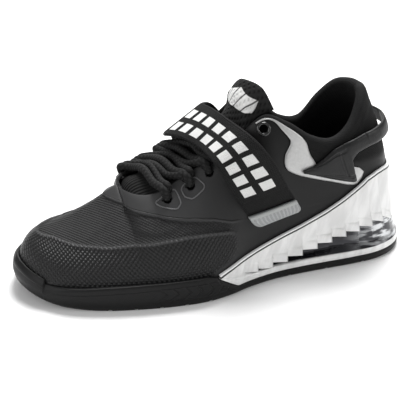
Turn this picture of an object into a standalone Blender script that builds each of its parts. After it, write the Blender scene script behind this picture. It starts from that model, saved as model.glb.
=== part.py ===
"""A left weightlifting shoe, standing empty on its sole, as the pieces that a maker would put together.

Metres, +Z up. The toe points along -X, the lateral side faces -Y, and the floor is Z = 0 under the sole.
Each ring runs from the toe tip along the lateral side to the heel, and back along the medial side.
"""
import math

import bmesh
import bpy
import numpy as np
from mathutils import Vector

for old in list(bpy.data.objects):
    bpy.data.objects.remove(old, do_unlink=True)

# Driving sizes
SHOE_LENGTH = 0.292
BALL_WIDTH = 0.108
TAB_HEIGHT = 0.126
FOREFOOT_STACK = 0.010
HEEL_STACK = 0.031
TOE_SPRING = 0.0055
RUBBER = 0.0055
RIM = 0.0032
WALL_HEIGHT = 0.0205
BUMPER_HEIGHT = 0.0255
FLANGE = 0.0042
RECESS_DEPTH = 0.0055
SHELL = 0.0022
TOOTH_STEP = 0.0024
TOOTH_PROUD = 0.0009
WALL = 0.0020
COLLAR_PAD = 0.0075
OVERLAY = 0.0008
FIT_GAP = 0.0004
SEAT_GAP = 0.0008
TONGUE_GAP = 0.0012
INSOLE = 0.0040
TONGUE_THICKNESS = 0.0065
LACE = 0.0058
EYELET_HOLE = 0.0030
EYELET_RING = 0.0050
RING_THICKNESS = 0.0012
STRAP = 0.0020
TAB_THICKNESS = 0.0028
LOOP_THICKNESS = 0.0026
FILM = 0.0005
GROOVE_DEPTH = 0.0012
GROOVE_WIDTH = 0.0026

# Sole outline: share of the length from the toe tip, then both edges as shares of the ball width.
# The insets move the upper's foot and the bottom edge in from that outline, as shares of the ball width too.
SOLE = (
    # along, lateral, medial, foot_inset, bottom_inset
    (0.000, 0.025, 0.025, 0.050, 0.040),
    (0.010, -0.095, 0.150, 0.048, 0.040),
    (0.035, -0.215, 0.270, 0.046, 0.036),
    (0.075, -0.320, 0.360, 0.043, 0.032),
    (0.130, -0.400, 0.415, 0.041, 0.026),
    (0.200, -0.462, 0.448, 0.040, 0.020),
    (0.280, -0.508, 0.453, 0.040, 0.018),
    (0.360, -0.537, 0.423, 0.041, 0.018),
    (0.430, -0.542, 0.372, 0.045, 0.018),
    (0.490, -0.510, 0.338, 0.048, 0.018),
    (0.550, -0.450, 0.318, 0.050, 0.016),
    (0.620, -0.405, 0.308, 0.052, 0.014),
    (0.690, -0.388, 0.308, 0.056, 0.012),
    (0.760, -0.382, 0.312, 0.062, 0.012),
    (0.830, -0.378, 0.315, 0.072, 0.012),
    (0.900, -0.358, 0.300, 0.088, 0.012),
    (0.955, -0.290, 0.235, 0.108, 0.014),
    (0.988, -0.175, 0.130, 0.122, 0.018),
    (1.000, -0.025, -0.025, 0.128, 0.018),
)

# Top line of the upper, on the same rows: the ridge of the vamp, then the edge of the throat and the collar.
TOP = (
    # along, medial_along, centre, half_gap, rise, medial_rise, fan_deg, slope_deg,
    #     foot_reach, top_reach, foot_lean_deg, pad
    (0.090, 0.090, 0.050, 0.000, 0.346, 0.346, 0, 80, 0.50, 0.26, 2, 0.0),
    (0.094, 0.094, 0.050, 0.000, 0.348, 0.348, 24, 80, 0.50, 0.26, 2, 0.0),
    (0.104, 0.104, 0.052, 0.000, 0.354, 0.354, 48, 80, 0.48, 0.26, 2, 0.0),
    (0.122, 0.122, 0.055, 0.000, 0.366, 0.366, 68, 80, 0.43, 0.24, 3, 0.0),
    (0.156, 0.156, 0.058, 0.000, 0.396, 0.396, 82, 80, 0.38, 0.20, 4, 0.0),
    (0.208, 0.208, 0.060, 0.000, 0.456, 0.456, 90, 80, 0.37, 0.18, 5, 0.0),
    (0.270, 0.270, 0.060, 0.000, 0.535, 0.535, 90, 80, 0.37, 0.16, 6, 0.0),
    (0.335, 0.335, 0.050, 0.205, 0.545, 0.540, 90, 58, 0.40, 0.26, 6, 0.0),
    (0.410, 0.410, 0.040, 0.205, 0.630, 0.635, 90, 50, 0.38, 0.26, 5, 0.0),
    (0.475, 0.475, 0.030, 0.205, 0.725, 0.735, 90, 46, 0.38, 0.26, 4, 0.0),
    (0.540, 0.540, 0.015, 0.210, 0.830, 0.835, 90, 42, 0.40, 0.26, 3, 0.0),
    (0.603, 0.600, 0.000, 0.220, 0.955, 0.945, 90, 32, 0.42, 0.28, 2, 0.15),
    (0.660, 0.650, -0.015, 0.250, 0.898, 0.870, 90, 12, 0.42, 0.28, 1, 0.65),
    (0.715, 0.700, -0.025, 0.270, 0.800, 0.755, 92, 0, 0.40, 0.28, 0, 1.0),
    (0.770, 0.755, -0.028, 0.272, 0.765, 0.735, 95, -2, 0.40, 0.28, 0, 1.0),
    (0.820, 0.800, -0.028, 0.248, 0.830, 0.865, 102, 4, 0.40, 0.30, 2, 1.0),
    (0.855, 0.838, -0.028, 0.185, 0.945, 0.970, 120, 14, 0.42, 0.32, 4, 1.0),
    (0.876, 0.870, -0.028, 0.100, 0.998, 1.000, 150, 20, 0.42, 0.34, 5, 1.0),
    (0.884, 0.884, -0.028, 0.000, 1.000, 1.000, 180, 22, 0.42, 0.34, 5, 1.0),
)
ROWS = len(SOLE)
RING = 2 * (ROWS - 1)
THROAT_ROW = 6
THROAT_END_ROW = 7
WEDGE_ROW = 8.40
TEETH_START_ROW, TEETH_END_ROW, TEETH = 9.7, 16.1, 11

# Heights by row from the toe, as shares of the size that each is used with, joined by straight runs.
BUMPER_TOP = ((0, 1.0), (1, 0.96), (2, 0.86), (2.5, 0.79))
WALL_TOP = ((2.5, 0.83), (3, 0.84), (4, 0.88), (5, 0.95), (6, 0.99), (7, 1.0), (8, 0.99), (8.35, 0.93))
WALL_END = ((8.35, 0.92), (8.55, 0.72), (8.9, 0.42), (9.4, 0.0))
WEDGE_TOP = ((8.3, 0.140), (9, 0.172), (10, 0.215), (11, 0.262), (12, 0.312), (13, 0.372), (14, 0.446),
             (15, 0.528), (15.6, 0.552), (16, 0.556), (17, 0.545), (18, 0.538))
TOE_RISE = ((0.0, 1.0), (0.03, 0.72), (0.06, 0.46), (0.10, 0.20), (0.15, 0.04), (0.19, 0.0), (1.0, 0.0))
STACK_RISE = ((0.0, 0.0), (0.40, 0.0), (0.48, 0.05), (0.56, 0.24), (0.64, 0.50), (0.72, 0.78), (0.80, 0.96),
              (0.86, 1.0), (1.0, 1.0))
BAND_TOE = ((0, 0.80), (2.8, 0.70), (4, 0.54))
BAND_TOP = ((4, 0.316), (5.1, 0.321), (5.9, 0.338), (6.8, 0.360), (7.6, 0.378), (8.5, 0.384), (9.2, 0.380),
            (9.6, 0.360), (18, 0.360))
STAY_TOE = ((0, 0.965), (5.4, 0.965))
STAY_FOOT = ((5.4, 0.490), (5.7, 0.487), (6.6, 0.475), (7.0, 0.461), (7.7, 0.446), (8.7, 0.440), (9.4, 0.415),
             (18, 0.415))


def by_rows(pairs, where):
    """A value read off a short table of (row or share, value) pairs."""
    return float(np.interp(where, [p[0] for p in pairs], [p[1] for p in pairs]))


def smooth(a, b, x):
    """0 before a, 1 after b, and an even slope between them."""
    t = min(1.0, max(0.0, (x - a) / (b - a)))
    return t * t * (3 - 2 * t)


def ring_controls(column):
    """One table column as a closed ring of control values: the lateral rows, then the medial rows back."""
    names = {"along": (SOLE, 0, 0), "edge": (SOLE, 1, 2), "foot_inset": (SOLE, 3, 3),
             "bottom_inset": (SOLE, 4, 4), "top_along": (TOP, 0, 1), "centre": (TOP, 2, 2),
             "half_gap": (TOP, 3, 3), "rise": (TOP, 4, 5), "fan": (TOP, 6, 6), "slope": (TOP, 7, 7),
             "foot_reach": (TOP, 8, 8), "top_reach": (TOP, 9, 9), "foot_lean": (TOP, 10, 10),
             "pad": (TOP, 11, 11)}
    table, lateral, medial = names[column]
    return [row[lateral] for row in table] + [row[medial] for row in table[-2:0:-1]]


CONTROLS = {name: ring_controls(name) for name in (
    "along", "edge", "foot_inset", "bottom_inset", "top_along", "centre", "half_gap", "rise", "fan", "slope",
    "foot_reach", "top_reach", "foot_lean", "pad")}


def ring_value(column, r):
    """A column's value at ring place r, on a smooth curve through its rows."""
    values = CONTROLS[column]
    i = math.floor(r)
    t = r - i
    a, b, c, d = (values[(i + k) % RING] for k in (-1, 0, 1, 2))
    return b + 0.5 * t * (c - a + t * (2 * a - 5 * b + 4 * c - d + t * (3 * (b - c) + d - a)))


def row_of(r):
    """The table row at ring place r, counted from the toe on either side."""
    return min(r % RING, RING - r % RING)


def side_of(r):
    """-1 on the lateral side, 1 on the medial side, 0 at the toe tip and the heel."""
    r = r % RING
    return 0 if r in (0, RING / 2) else (-1 if r < RING / 2 else 1)


def raw_sole_edge(r):
    return np.array([(ring_value("along", r) - 0.5) * SHOE_LENGTH, ring_value("edge", r) * BALL_WIDTH, 0.0])


EDGE_SAMPLES = np.array([raw_sole_edge(r) for r in np.arange(0, RING, 0.1)])
PLAN_SHIFT = (EDGE_SAMPLES.min(0) + EDGE_SAMPLES.max(0)) / 2


def outward(r):
    """The sole outline's normal in plan, pointing away from the shoe."""
    along = raw_sole_edge(r + 0.02) - raw_sole_edge(r - 0.02)
    return np.array([along[1], -along[0], 0.0]) / np.linalg.norm(along)


def sole_edge(r, inset=0.0, z=0.0):
    """A point on the sole's outline, moved in by inset."""
    point = raw_sole_edge(r) - PLAN_SHIFT - outward(r) * inset
    point[2] = z
    return point


def share_of_length(x):
    return min(1.0, max(0.0, x / SHOE_LENGTH + 0.5))


def ground(x):
    """Height of the sole's underside, which springs up at the toe."""
    return TOE_SPRING * by_rows(TOE_RISE, share_of_length(x))


def footbed(x):
    """Height of the floor that the insole lies on."""
    lift = (HEEL_STACK - FOREFOOT_STACK) * by_rows(STACK_RISE, share_of_length(x))
    return ground(x) + FOREFOOT_STACK + lift


def throat_share(r):
    """0 at the throat's front end, 1 where its edges run straight."""
    return min(1.0, max(0.0, (row_of(r) - THROAT_ROW) / (THROAT_END_ROW - THROAT_ROW)))


def column(r):
    """The four handles of the upper's curve at ring place r, from its foot to its top edge."""
    foot = sole_edge(r, ring_value("foot_inset", r) * BALL_WIDTH)
    foot[2] = footbed(foot[0]) + SEAT_GAP
    row = row_of(r)
    place = row if row <= THROAT_ROW else r
    gap, along = ring_value("half_gap", place), ring_value("top_along", place)
    if row <= THROAT_END_ROW:
        bend = throat_share(r) * math.pi / 2
        gap = TOP[THROAT_END_ROW][3] * math.sin(bend)
        if row > THROAT_ROW:
            along = TOP[THROAT_END_ROW][0] - (TOP[THROAT_END_ROW][0] - TOP[THROAT_ROW][0]) * math.cos(bend)
    side = side_of(r)
    middle = ring_value("centre", place) + side * gap
    top = np.array([(along - 0.5) * SHOE_LENGTH, middle * BALL_WIDTH, 0.0]) - PLAN_SHIFT
    top[2] = ring_value("rise", place) * TAB_HEIGHT
    turn, slope, lean = (math.radians(ring_value(name, r)) for name in ("fan", "slope", "foot_lean"))
    out = np.array([-math.cos(turn), side * math.sin(turn), 0.0])
    reach = np.linalg.norm(top - foot)
    up = np.array([0.0, 0.0, 1.0])
    low = foot + reach * ring_value("foot_reach", r) * (math.cos(lean) * up + math.sin(lean) * outward(r))
    high = top + reach * ring_value("top_reach", r) * (math.sin(slope) * out - math.cos(slope) * up)
    return foot, low, high, top


def last(r, s):
    """A point on the upper's own form: s is 0 at the foot and 1 at the top edge."""
    foot, low, high, top = column(r)
    t = 1 - s
    return foot * t ** 3 + 3 * low * t * t * s + 3 * high * t * s * s + top * s ** 3


def last_normal(r, s):
    """The outward normal of that form, shared by both sides along the ridge of the vamp."""
    step = 0.01
    on_ridge = row_of(r) < THROAT_ROW + 1e-6 and s > 0.99
    s = min(s, 0.985) if on_ridge else s
    total = np.zeros(3)
    for place in ((r, RING - r) if on_ridge else (r,)):
        round_it = last(place + step, s) - last(place - step, s)
        up_it = last(place, min(1.0, s + step)) - last(place, max(0.0, s - step))
        normal = np.cross(round_it, up_it)
        total += normal / np.linalg.norm(normal)
    return total / np.linalg.norm(total)


def skin(r, s, lift=0.0):
    """A point at lift outside the upper's form, or inside it where lift is below 0."""
    return last(r, s) + last_normal(r, s) * lift


def share_at_height(r, z):
    """The share s at which the column at r passes height z."""
    shares = np.linspace(0, 1, 41)
    return float(np.interp(z, [last(r, s)[2] for s in shares], shares))


def make_object(name, mesh, colour, roughness=0.6, metallic=0.0):
    """An object for a finished mesh, with its own material."""
    mesh.shade_smooth()
    mesh.set_sharp_from_angle(angle=math.radians(35))
    material = bpy.data.materials.new(name)
    material.use_nodes = True
    surface = material.node_tree.nodes["Principled BSDF"]
    surface.inputs["Base Color"].default_value = (*colour, 1.0)
    surface.inputs["Roughness"].default_value = roughness
    surface.inputs["Metallic"].default_value = metallic
    mesh.materials.append(material)
    made = bpy.data.objects.new(name, mesh)
    bpy.context.scene.collection.objects.link(made)
    return made


def mesh_of(name, points, faces, weld=1e-6):
    """A mesh with its equal points joined and its faces turned outwards."""
    bm = bmesh.new()
    corners = [bm.verts.new(p) for p in points]
    for face in faces:
        bm.faces.new([corners[i] for i in face])
    bmesh.ops.remove_doubles(bm, verts=bm.verts, dist=weld)
    bmesh.ops.dissolve_degenerate(bm, edges=bm.edges, dist=weld)
    bmesh.ops.recalc_face_normals(bm, faces=bm.faces)
    mesh = bpy.data.meshes.new(name)
    bm.to_mesh(mesh)
    bm.free()
    return mesh


def band_faces(loops, closed_loop, closed_ring, start=0):
    """Quads between equal point loops: start is the index of their first point."""
    count, size = len(loops), len(loops[0])
    faces = []
    for i in range(count if closed_ring else count - 1):
        for j in range(size if closed_loop else size - 1):
            a, b = start + i * size, start + (i + 1) % count * size
            faces.append((a + j, b + j, b + (j + 1) % size, a + (j + 1) % size))
    return faces


def slab(name, under, over):
    """A closed solid between two equal grids of points, one on each face."""
    rows, size = len(under), len(under[0])
    points = [p for grid in (under, over) for line in grid for p in line]
    shift = rows * size
    faces = band_faces(under, False, False)
    faces += [tuple(i + shift for i in reversed(face)) for face in faces]
    rim = [i for i in range(size)] + [i * size + size - 1 for i in range(1, rows)]
    rim += [(rows - 1) * size + i for i in range(size - 2, -1, -1)]
    rim += [i * size for i in range(rows - 2, 0, -1)]
    faces += [(rim[i], rim[i - 1], rim[i - 1] + shift, rim[i] + shift) for i in range(len(rim))]
    return mesh_of(name, points, faces)


def curve_through(controls, count):
    """Points on a smooth open curve through the control points."""
    controls = [np.array(c, float) for c in controls]
    padded = [2 * controls[0] - controls[1], *controls, 2 * controls[-1] - controls[-2]]
    found = []
    for u in np.linspace(0, len(controls) - 1, count):
        i = min(int(u), len(controls) - 2)
        t = u - i
        a, b, c, d = padded[i:i + 4]
        found.append(b + 0.5 * t * (c - a + t * (2 * a - 5 * b + 4 * c - d + t * (3 * (b - c) + d - a))))
    return found


def joined(pieces, name):
    """The pieces as one object that only cuts."""
    bpy.ops.object.select_all(action="DESELECT")
    for piece in pieces:
        piece.select_set(True)
    bpy.context.view_layer.objects.active = pieces[0]
    bpy.ops.object.join()
    whole = bpy.context.object
    whole.name = name
    whole.hide_render = True
    whole.display_type = "WIRE"
    return whole


def cut(target, cutter, name):
    """Takes the cutter out of the target."""
    modifier = target.modifiers.new(name, "BOOLEAN")
    modifier.operation = "DIFFERENCE"
    modifier.object = cutter


def both_sides(rows):
    """Ring places of the given rows, down the lateral side and back up the medial side."""
    lateral = list(rows)
    return lateral + [RING - row for row in reversed(lateral) if row not in (0, ROWS - 1)]


TOOTH_PITCH = (TEETH_END_ROW - TEETH_START_ROW) / TEETH
TOOTH_ROWS = [TEETH_START_ROW + number * TOOTH_PITCH for number in range(TEETH + 1)]
COLUMN_ROWS = [float(row) for row in sorted({*np.arange(0, 9.51, 0.5), 0.25, 6.25, 6.75, *TOOTH_ROWS,
                                             16.5, 17.0, 17.5, 17.75, 18.0})]


# Upper: one moulded and knitted shell with a padded collar, open at the throat, the collar and underneath.
# The toe band and the smooth cage stand OVERLAY proud of the mesh between them.
BAND_LINES, MESH_LINES, CAGE_LINES, INSIDE_LINES, ROLL_LINES = 6, 4, 6, 7, 4
STEP_SHARE = 0.012


def line_share(r, toe_table, table):
    """The share at which one of the overlay lines crosses ring place r."""
    row = row_of(r)
    if row < table[0][0]:
        return by_rows(toe_table, row)
    return share_at_height(r, by_rows(table, row) * TAB_HEIGHT)


def outside_lines(r):
    """Shares and lifts of the upper's outer lines at ring place r, from foot to top."""
    row = row_of(r)
    band, stay = line_share(r, BAND_TOE, BAND_TOP), line_share(r, STAY_TOE, STAY_FOOT)
    stay = max(stay, band + 3 * STEP_SHARE)
    mesh_lift = 0.0 if row < 9.2 else OVERLAY
    cage_lift = OVERLAY if row > 5.4 else 0.0
    lines = [(s, OVERLAY) for s in np.linspace(0, band, BAND_LINES)]
    lines += [(s, mesh_lift) for s in np.linspace(band + STEP_SHARE, stay - STEP_SHARE, MESH_LINES)]
    lines += [(s, cage_lift) for s in np.linspace(stay, 1, CAGE_LINES)]
    return lines


def wall_at(r, s):
    """Thickness of the upper's wall, which swells into the padded collar."""
    pad = max(0.0, ring_value("pad", row_of(r)))
    return WALL + pad * (COLLAR_PAD - WALL) * smooth(0.35, 0.85, s)


def upper_section(r):
    """The upper's wall at ring place r: its outer lines, its rolled top edge and its inner lines."""
    outer = [skin(r, s, lift) for s, lift in outside_lines(r)]
    inner = [skin(r, s, -wall_at(r, s)) for s in np.linspace(0, 1, INSIDE_LINES)]
    middle, half = (outer[-1] + inner[-1]) / 2, (outer[-1] - inner[-1]) / 2
    onward = last(r, 1.0) - last(r, 0.98)
    if row_of(r) <= THROAT_ROW:
        onward = last(THROAT_ROW, 1.0) - last(THROAT_ROW - 0.1, 1.0)
    onward = onward - half * (onward @ half) / (half @ half)
    onward = onward / np.linalg.norm(onward) * np.linalg.norm(half)
    roll = [middle + half * math.cos(a) + onward * math.sin(a)
            for a in np.linspace(0, math.pi, ROLL_LINES + 1)[1:-1]]
    return outer, roll, inner[::-1]


EYELETS = (
    # lateral_row, medial_row, share
    (7.40, 6.62, 0.880),
    (8.18, 7.15, 0.870),
    (8.90, 7.88, 0.880),
    (9.55, 8.60, 0.890),
    (10.92, 10.80, 0.910),
)


def build_upper():
    places = both_sides(COLUMN_ROWS)
    sections = [upper_section(r) for r in places]
    points, faces, starts = [], [], []
    for outer, roll, inner in sections:
        starts.append(len(points))
        points += outer + roll + inner
    outer_count, roll_count = len(sections[0][0]), len(sections[0][1])
    size = outer_count + roll_count + len(sections[0][2])
    for i, start in enumerate(starts):
        after = starts[(i + 1) % len(starts)]
        open_top = min(row_of(places[i]), row_of(places[(i + 1) % len(places)])) >= THROAT_ROW
        for j in range(size):
            k = (j + 1) % size
            on_roll = outer_count - 1 <= j < outer_count + roll_count
            if on_roll and not open_top:
                continue
            faces.append((start + j, start + k, after + k, after + j))
    mesh = mesh_of("upper", points, faces)
    made = make_object("upper", mesh, (0.045, 0.045, 0.048), 0.62)
    cutters = []
    for lateral, medial, share in EYELETS:
        for r in (lateral, RING - medial):
            axis = last_normal(r, share)
            bpy.ops.mesh.primitive_cylinder_add(vertices=10, radius=EYELET_HOLE, depth=8 * WALL,
                                                location=last(r, share))
            cutter = bpy.context.object
            cutter.rotation_mode = "QUATERNION"
            cutter.rotation_quaternion = Vector(axis).to_track_quat("Z", "Y")
            cutters.append(cutter)
    cut(made, joined(cutters, "eyelet_cutter"), "eyelet holes")
    return made


# Outsole: black rubber, a cup round the forefoot with a toe bumper, thin and flat beneath the heel.
def wall_top(r):
    """Height of the rubber's top edge: the toe bumper, the side wall, and the fall to the wedge."""
    row = row_of(r)
    if row < 2.49:
        return BUMPER_HEIGHT * by_rows(BUMPER_TOP, row)
    if row < WALL_END[0][0]:
        return WALL_HEIGHT * by_rows(WALL_TOP, row)
    thin = RUBBER + 0.2 * RIM
    return thin + (WALL_HEIGHT - thin) * by_rows(WALL_END, row)


def rubber_floor(r, x):
    """Height of the rubber inside its rim: the footbed in front, and the wedge's seat behind."""
    row = row_of(r)
    if row < WEDGE_ROW:
        return footbed(x)
    return RUBBER + 0.3 * (FOREFOOT_STACK - RUBBER) * (1 - smooth(WEDGE_ROW, 9.4, row))


def outsole_section(r):
    row, top = row_of(r), wall_top(r)
    rim_in = sole_edge(r, RIM)
    low = rubber_floor(r, rim_in[0])
    if row < WEDGE_ROW:
        clear = OVERLAY + FIT_GAP
        inner_low = skin(r, 0.0, clear)
        inner_mid = skin(r, share_at_height(r, (low + top) / 2), clear)
        inner_top = skin(r, share_at_height(r, top), clear)
        inner_low[2] = low
        inner_top[2] = top
    else:
        thin = 0.6 if row < 9.2 else 1.0
        inner_low, inner_mid, inner_top = (sole_edge(r, RIM * share, z) for share, z in (
            (1.0, low), ((1 + thin) / 2, (low + top) / 2), (thin, top)))
    lean = RIM * 0.9 * (1 - smooth(2.5, 4, row))
    inset = ring_value("bottom_inset", r) * BALL_WIDTH
    outer_top = sole_edge(r, 0.15 * RIM + lean, top)
    shoulder = sole_edge(r, 0.4 * lean, top - 0.0015 - 0.5 * lean)
    base = sole_edge(r, inset)
    base[2] = ground(base[0])
    belly = sole_edge(r, 0.0, base[2] + (top - base[2]) * 0.52)
    side = sole_edge(r, 0.35 * inset, base[2] + (top - base[2]) * 0.16)
    return [inner_low, inner_mid, inner_top, outer_top, shoulder, belly, side, base]


def bridge_strips(places, starts, low_index, high_index):
    """Faces from each lateral section to its medial one, for a floor and an underside."""
    by_place = {round(r % RING, 3): start for r, start in zip(places, starts)}
    rows = sorted({round(row_of(r), 3) for r in places})
    faces = []
    for a, b in zip(rows, rows[1:]):
        left_a, left_b = by_place[a], by_place[b]
        right_a = by_place.get(round(RING - a, 3), left_a)
        right_b = by_place.get(round(RING - b, 3), left_b)
        for index in (low_index, high_index):
            corners = [left_a + index, left_b + index, right_b + index, right_a + index]
            faces.append(tuple(dict.fromkeys(corners)))
    return faces


GROOVES = (0.20, 0.26, 0.32, 0.38, 0.44, 0.66, 0.76, 0.86)


def build_outsole():
    rows = sorted({*COLUMN_ROWS, 2.48, WEDGE_ROW - 0.05, WEDGE_ROW - 0.01, WEDGE_ROW + 0.01, 8.7, 9.2})
    places = both_sides([float(row) for row in rows])
    sections = [outsole_section(r) for r in places]
    size = len(sections[0])
    faces = band_faces(sections, False, True)
    starts = [i * size for i in range(len(places))]
    faces += bridge_strips(places, starts, 0, size - 1)
    points = [p for section in sections for p in section]
    made = make_object("outsole", mesh_of("outsole", points, faces), (0.03, 0.03, 0.032), 0.55)
    grooves = []
    for share in GROOVES:
        bpy.ops.mesh.primitive_cube_add(size=1, location=((share - 0.5) * SHOE_LENGTH, 0, 0))
        groove = bpy.context.object
        groove.scale = (GROOVE_WIDTH, 2 * BALL_WIDTH, 2 * GROOVE_DEPTH)
        grooves.append(groove)
    cutter = joined(grooves, "groove_cutter")
    bpy.ops.object.transform_apply(location=False, rotation=False, scale=True)
    cut(made, cutter, "tread grooves")
    return made


# Heel wedge: silver-finished hard plastic, a lifted heel block whose shell cups the quarters and the heel.
def wedge_top(r):
    return TAB_HEIGHT * by_rows(WEDGE_TOP, row_of(r))


def wedge_section(r, tooth=None):
    """The wedge's section at ring place r. On a tooth, tooth runs from 0 at its front to 1 at its step."""
    row, top = row_of(r), wedge_top(r)
    seat = rubber_floor(r, sole_edge(r)[0]) + FIT_GAP
    rim = wall_top(r) + FIT_GAP
    x = sole_edge(r, RIM)[0]
    floor = footbed(x)
    clear = OVERLAY + 1.3 * FIT_GAP
    shares = [share_at_height(r, floor + (top - floor) * part) for part in (0.0, 0.33, 0.67, 1.0)]
    inner = [skin(r, s, clear) for s in shares]
    inner[0][2] = floor
    inner[-1][2] = top
    outer_top = skin(r, shares[-1], clear + SHELL)
    outer_top[2] = top
    deep = RECESS_DEPTH * smooth(9.6, 11.5, row) * (1 - 0.8 * smooth(13.2, 15.0, row))
    opening = smooth(9.5, 10.5, row)
    flange = rim + min(FLANGE, 0.30 * (top - rim))
    span = (top - flange) * 0.42 * smooth(9.8, 14.6, row) * (1 - 0.45 * smooth(15.0, 18, row))
    if tooth is not None:
        span = max(0.0012, span - TOOTH_STEP * (tooth - 0.5))
    mouth = flange + max(0.0012 * opening, span) + 0.15 * (1 - opening) * (top - flange)
    edge = sole_edge(r)
    drift = outer_top - edge
    proud = TOOTH_PROUD * tooth if tooth is not None else 0.0

    def side_point(z, inset):
        """On the shell's flared side at height z, moved in by inset."""
        share = (z - flange) / max(top - flange, 1e-6)
        bow = share ** 0.8
        point = edge + drift * bow - outward(r) * inset
        point[2] = z
        return point

    lip = side_point(mouth + 0.12 * (top - mouth), -proud)
    tooth_edge = side_point(mouth, 0.0006 - proud)
    deep_top = side_point(mouth - 0.02 * (mouth - flange), deep + 0.0006)
    deep_low = side_point(flange + 0.25 * (mouth - flange), deep + 0.0008)
    flange_top = sole_edge(r, 0.0006, flange)
    flange_low = sole_edge(r, 0.0, rim)
    rim_in = RIM + FIT_GAP
    return [*inner, outer_top, lip, tooth_edge, deep_top, deep_low, flange_top, flange_low,
            sole_edge(r, rim_in, rim), sole_edge(r, rim_in, seat)]


def build_wedge():
    rows = [WEDGE_ROW + 0.17, 9.0, 9.5]
    teeth = [None] * len(rows)
    for start in TOOTH_ROWS[:-1]:
        rows += [start + 0.012, start + TOOTH_PITCH - 0.012]
        teeth += [0.0, 1.0]
    tail = [16.5, 17.0, 17.5, 17.75, 18.0]
    rows += tail
    teeth += [None] * len(tail)
    places = rows + [RING - row for row in reversed(rows[:-1])]
    teeth = teeth + list(reversed(teeth[:-1]))
    sections = [wedge_section(r, tooth) for r, tooth in zip(places, teeth)]
    size, count = len(sections[0]), len(places)
    faces = band_faces(sections, False, False)
    starts = [i * size for i in range(count)]
    for i in range(count // 2):
        a, b = starts[i], starts[i + 1]
        c, d = starts[count - 2 - i], starts[count - 1 - i]
        for index in (0, size - 1):
            faces.append(tuple(dict.fromkeys((a + index, b + index, c + index, d + index))))
    points = [p for section in sections for p in section]
    left, right = starts[0], starts[-1]
    faces.append(tuple(left + j for j in range(size)))
    faces.append(tuple(right + j for j in range(size)))
    faces.append((left, right, right + size - 1, left + size - 1))
    return make_object("heel_wedge", mesh_of("heel_wedge", points, faces), (0.72, 0.72, 0.71), 0.28, 0.7)


# Insole: a thin foam footbed inside the upper.
def build_insole():
    rows = [0.25, 0.5, *range(1, 18), 17.5, 17.75]
    under, over = [], []
    for row in rows:
        ends = [skin(r, share_at_height(r, footbed(last(r, 0)[0]) + INSOLE), -(WALL + TONGUE_GAP))
                for r in (row, RING - row)]
        line = [ends[0] + (ends[1] - ends[0]) * part for part in (0, 0.25, 0.5, 0.75, 1)]
        dish = (1.0, 0.85, 0.75, 0.85, 1.0)
        low, high = [], []
        for p, share in zip(line, dish):
            z = footbed(p[0]) + SEAT_GAP
            low.append(np.array([p[0], p[1], z]))
            high.append(np.array([p[0], p[1], z + INSOLE * share]))
        under.append(low)
        over.append(high)
    return make_object("insole", slab("insole", under, over), (0.02, 0.02, 0.02), 0.9)


# Tongue: padded mesh, lying under both edges of the throat and rising past them.
TONGUE = (
    # row, crest_rise, reach, edge, thickness
    (6.00, 0.512, 0.78, 0.90, 0.40),
    (6.60, 0.560, 0.88, 1.00, 0.45),
    (7.00, 0.588, 0.86, 1.00, 0.55),
    (7.50, 0.612, 0.84, 1.00, 0.60),
    (8.00, 0.644, 0.84, 1.00, 0.65),
    (8.50, 0.690, 0.84, 1.00, 0.70),
    (9.00, 0.760, 0.84, 1.00, 0.80),
    (9.50, 0.850, 0.84, 1.00, 0.90),
    (10.0, 0.940, 0.85, 1.00, 1.00),
)
TONGUE_TOP = (
    # along, crest_rise, half_width, edge_rise, edge_back
    (0.562, 1.030, 0.168, 0.915, 0.024),
    (0.582, 1.108, 0.215, 0.985, 0.048),
)
TONGUE_SHOULDER = ((-1, 1.0, 1.0), (-0.62, 0.12, 0.55), (0, 0.0, 0.0), (0.55, 0.38, -0.10), (1, 1.2, -0.35))
TONGUE_COUNT = 12


def tongue_lines():
    """Control lines across the tongue's face, from its toe end to its top."""
    lines = []
    for row, crest, reach, edge, _ in TONGUE:
        places = ((row, reach), (row, edge), (RING - row, edge), (RING - row, reach))
        sides = [skin(r, share, -(wall_at(r, share) + TONGUE_GAP)) for r, share in places]
        top = (sides[1] + sides[2]) / 2
        top[2] = crest * TAB_HEIGHT
        lines.append([*sides[:2], top, *sides[2:]])
    centre = lines[-1][2][1]
    for along, crest, half, edge, back in TONGUE_TOP:
        x = (along - 0.5) * SHOE_LENGTH - PLAN_SHIFT[0]
        lines.append([(x + back * SHOE_LENGTH * setback, centre + side * half * BALL_WIDTH,
                       (crest + (edge - crest) * drop) * TAB_HEIGHT)
                      for side, drop, setback in TONGUE_SHOULDER])
    return lines


def build_tongue():
    faces_up = [curve_through(line, TONGUE_COUNT) for line in tongue_lines()]
    shares = [row[4] for row in TONGUE] + [0.9, 0.5]
    over = np.array(faces_up)
    along = np.gradient(over, axis=0)
    across = np.gradient(over, axis=1)
    normals = np.cross(across, along)
    normals /= np.linalg.norm(normals, axis=2)[..., None]
    normals *= np.sign(normals[:, TONGUE_COUNT // 2, 2])[:, None, None]
    rounding = np.array([0.45] + [1.0] * (TONGUE_COUNT - 2) + [0.45])
    depth = TONGUE_THICKNESS * np.array(shares)[:, None] * rounding
    under = over - normals * depth[..., None]
    make_object("tongue", slab("tongue", list(under), list(over)), (0.03, 0.03, 0.03), 0.85)
    return over, normals


# Lacing: one thick round cord through four pairs of eyelets. Its bars cross over the diagonals beneath them.
LACED = 4
BAR_RAISE = (0.25, 0.30, 0.15, 0.0)
BAR_SEGMENTS, BAR_SIDES = 8, 6
EDGE_RISE = 0.0015


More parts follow.
